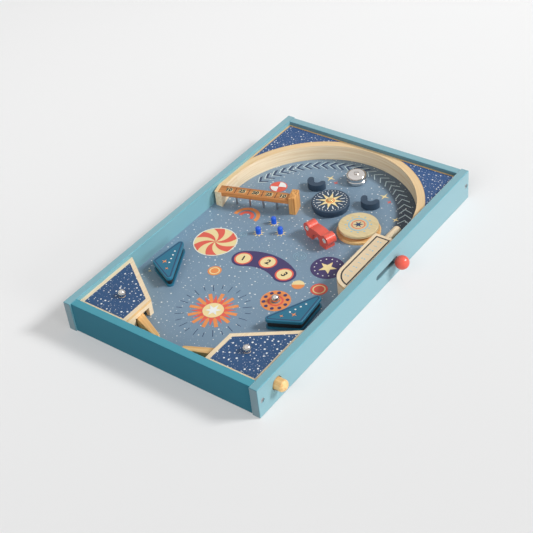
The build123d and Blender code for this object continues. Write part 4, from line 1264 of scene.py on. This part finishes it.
class PINBALL_OT_screw_slots(bpy.types.Operator):
    """Print dark sheets in the cross recesses of the frame's screws and the slot of the bell's screw, their
    dark tone a painted shade
    """

    bl_idname = "pinball.screw_slots"
    bl_label = "Screw Slots"

    def execute(self, context):
        # Painted shade: the dark sheets stand for the shade inside the recesses and the slot
        dark = rubber_finish("recess", tone(38, 38, 40), 0.7)
        low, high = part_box("frame_screws")
        cross = [dash(0.0, 0.0, near=-1.5, far=1.5, angle=angle, width=0.55) for angle in (0.0, 90.0)]
        for (side, sign), face in zip(SIDES, (low.x, high.x)):
            turned = Matrix.Rotation(sign * math.pi / 2, 4, "Y")
            for end, way in (("front", -1), ("back", 1)):
                place = Matrix.Translation((face, way * SCREW_END * MM, SCREW_HEIGHT * MM)) @ turned
                print_layer(f"{side}_{end}_screw_cross", cross, 0.0, dark, place=place)
        x, y, top = middle_top("bell_screw")
        groove = dash(x, y, near=-3.1, far=3.1, angle=30.0, width=0.9)
        print_layer("bell_screw_slot", [groove], top, dark)
        return {"FINISHED"}


def seen_rays(tree):
    """One for what the camera sees, straight or in metal, and nought for the light that falls on the game."""
    path = tree.nodes.new("ShaderNodeLightPath").outputs
    seen = calc(tree, "MAXIMUM", path["Is Camera Ray"], path["Is Glossy Ray"])
    return calc(tree, "MAXIMUM", seen, path["Is Transmission Ray"])


class PINBALL_OT_stage(bpy.types.Operator):
    """Set up the floor, the lights and the camera"""

    bl_idname = "pinball.stage"
    bl_label = "Stage"

    def execute(self, context):
        scene = context.scene
        look = scene.pinball_stage
        bpy.ops.object.select_all(action="DESELECT")
        bpy.ops.mesh.primitive_plane_add(size=FLOOR_SIZE)
        floor = name_piece("floor")
        floor.data.materials.append(self.floor_paper(look.floor, look.floor_near))
        for name, (place, size) in LAMPS.items():
            self.add_light(name, place, size, getattr(look, name))
        self.set_world(scene, look.sky)
        self.set_camera(scene)
        scene.view_settings.view_transform = "Standard"
        return {"FINISHED"}

    def floor_paper(self, far, near):
        """Pale paper with painted shade, darker towards the front right, that blends into a glowing backdrop,
        which also lightens the game's shadow as painted light.
        """
        material, tree, shader = new_finish("floor_paper")
        where = object_place(tree)
        slant = add_node(tree, "ShaderNodeVectorMath", {"operation": "DOT_PRODUCT"}, Vector=where)
        slant.inputs[1].default_value = FLOOR_SLANT
        # Painted shade: the paper darkens towards the front right
        paper = mix_tones(tree, ramp(tree, slant.outputs["Value"], -FLOOR_TURN, FLOOR_TURN), far, near)
        seen = seen_rays(tree)
        paper = mix_tones(tree, seen, [FLOOR_BOUNCE * part for part in far], paper)
        reach = add_node(tree, "ShaderNodeVectorMath", {"operation": "LENGTH"}, Vector=where)
        # The glow is the backdrop far off, and near the game a painted light that lightens the game's shadow
        haze = calc(tree, "MULTIPLY", seen, ramp(tree, reach.outputs["Value"], *HAZE_SPAN, HAZE_LEAST))
        backdrop_and_painted_light = calc(tree, "MULTIPLY", haze, BACKDROP)
        fill_sockets(tree, shader, Base_Color=mix_tones(tree, haze, paper, (0.0, 0.0, 0.0)))
        fill_sockets(tree, shader, Emission_Color=(1.0, 1.0, 1.0), Emission_Strength=backdrop_and_painted_light)
        fill_sockets(tree, shader, Roughness=0.9, Specular_IOR_Level=0.1)
        return material

    def add_light(self, name, place, size, power):
        """A square lamp that looks at the game. Metal mirrors the key light alone."""
        bpy.ops.object.light_add(type="AREA", location=place)
        lamp = bpy.context.object
        lamp.name = name
        lamp.data.size = size
        lamp.data.energy = power
        lamp.visible_glossy = name == "key"
        lamp.rotation_euler = Vector(place).to_track_quat("Z", "Y").to_euler()

    def set_world(self, scene, level):
        """Soft light from all round, and a pale backdrop with a dark strip that only metal mirrors."""
        world = bpy.data.worlds.new("studio")
        scene.world = world
        world.use_nodes = True
        tree = world.node_tree
        tree.nodes.clear()
        rise = split(tree, tree.nodes.new("ShaderNodeTexCoord").outputs["Generated"])[2]
        strip = calc(tree, "SUBTRACT", ramp(tree, rise, *STRIP_LOW), ramp(tree, rise, *STRIP_HIGH))
        camera = tree.nodes.new("ShaderNodeLightPath").outputs["Is Camera Ray"]
        strip = calc(tree, "MULTIPLY", strip, calc(tree, "SUBTRACT", 1.0, camera))
        backdrop = calc(tree, "SUBTRACT", BACKDROP, calc(tree, "MULTIPLY", strip, STRIP_DEPTH))
        above = calc(tree, "SUBTRACT", backdrop, level)
        strength = calc(tree, "ADD", calc(tree, "MULTIPLY", seen_rays(tree), above), level)
        light = add_node(tree, "ShaderNodeBackground", Color=(1.0, 1.0, 1.0), Strength=strength)
        add_node(tree, "ShaderNodeOutputWorld", Surface=light.outputs[0])

    def set_camera(self, scene):
        """The camera, solved on the tray's corners."""
        bpy.ops.object.camera_add(location=CAMERA_PLACE)
        camera = bpy.context.object
        axes = (Vector(CAMERA_RIGHT), -Vector(CAMERA_DOWN), -Vector(CAMERA_AHEAD))
        camera.rotation_euler = Matrix(axes).transposed().to_euler()
        camera.data.lens = LENS
        camera.data.sensor_width = SENSOR
        scene.camera = camera


class PINBALL_PT_sidebar(bpy.types.Panel):
    """The pinball game's steps, in the sidebar"""

    bl_idname = "PINBALL_PT_sidebar"
    bl_label = "Pinball Game"
    bl_space_type = "VIEW_3D"
    bl_region_type = "UI"
    bl_category = "Pinball"

    def draw(self, context):
        for step in STEPS:
            self.layout.operator(step.bl_idname)
        for group in ("pinball_sizes", "pinball_tones", "pinball_stage"):
            box = self.layout.box()
            settings = getattr(context.scene, group)
            for name in settings.__annotations__:
                box.prop(settings, name)


GROUPS = {"pinball_sizes": PinballSizes, "pinball_tones": PinballTones, "pinball_stage": PinballStage}
STEPS = (
    PINBALL_OT_paintwork,
    PINBALL_OT_woodwork,
    PINBALL_OT_metal_and_rubber,
    PINBALL_OT_field_print,
    PINBALL_OT_star_prints,
    PINBALL_OT_compass_print,
    PINBALL_OT_sling_prints,
    PINBALL_OT_spool_print,
    PINBALL_OT_launcher_print,
    PINBALL_OT_score_numbers,
    PINBALL_OT_springs,
    PINBALL_OT_screw_slots,
    PINBALL_OT_stage,
)


def register():
    """Make the settings, the steps and the panel known to Blender."""
    for name, group in GROUPS.items():
        bpy.utils.register_class(group)
        setattr(bpy.types.Scene, name, bpy.props.PointerProperty(type=group))
    for step in (*STEPS, PINBALL_PT_sidebar):
        bpy.utils.register_class(step)


def unregister():
    """Take them away again."""
    for step in (PINBALL_PT_sidebar, *reversed(STEPS)):
        bpy.utils.unregister_class(step)
    for name, group in GROUPS.items():
        delattr(bpy.types.Scene, name)
        bpy.utils.unregister_class(group)


def main():
    """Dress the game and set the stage."""
    register()
    bpy.ops.pinball.paintwork()
    bpy.ops.pinball.woodwork()
    bpy.ops.pinball.metal_and_rubber()
    bpy.ops.pinball.field_print()
    bpy.ops.pinball.star_prints()
    bpy.ops.pinball.compass_print()
    bpy.ops.pinball.sling_prints()
    bpy.ops.pinball.spool_print()
    bpy.ops.pinball.launcher_print()
    bpy.ops.pinball.score_numbers()
    bpy.ops.pinball.springs()
    bpy.ops.pinball.screw_slots()
    bpy.ops.pinball.stage()


if __name__ == "__main__":
    main()
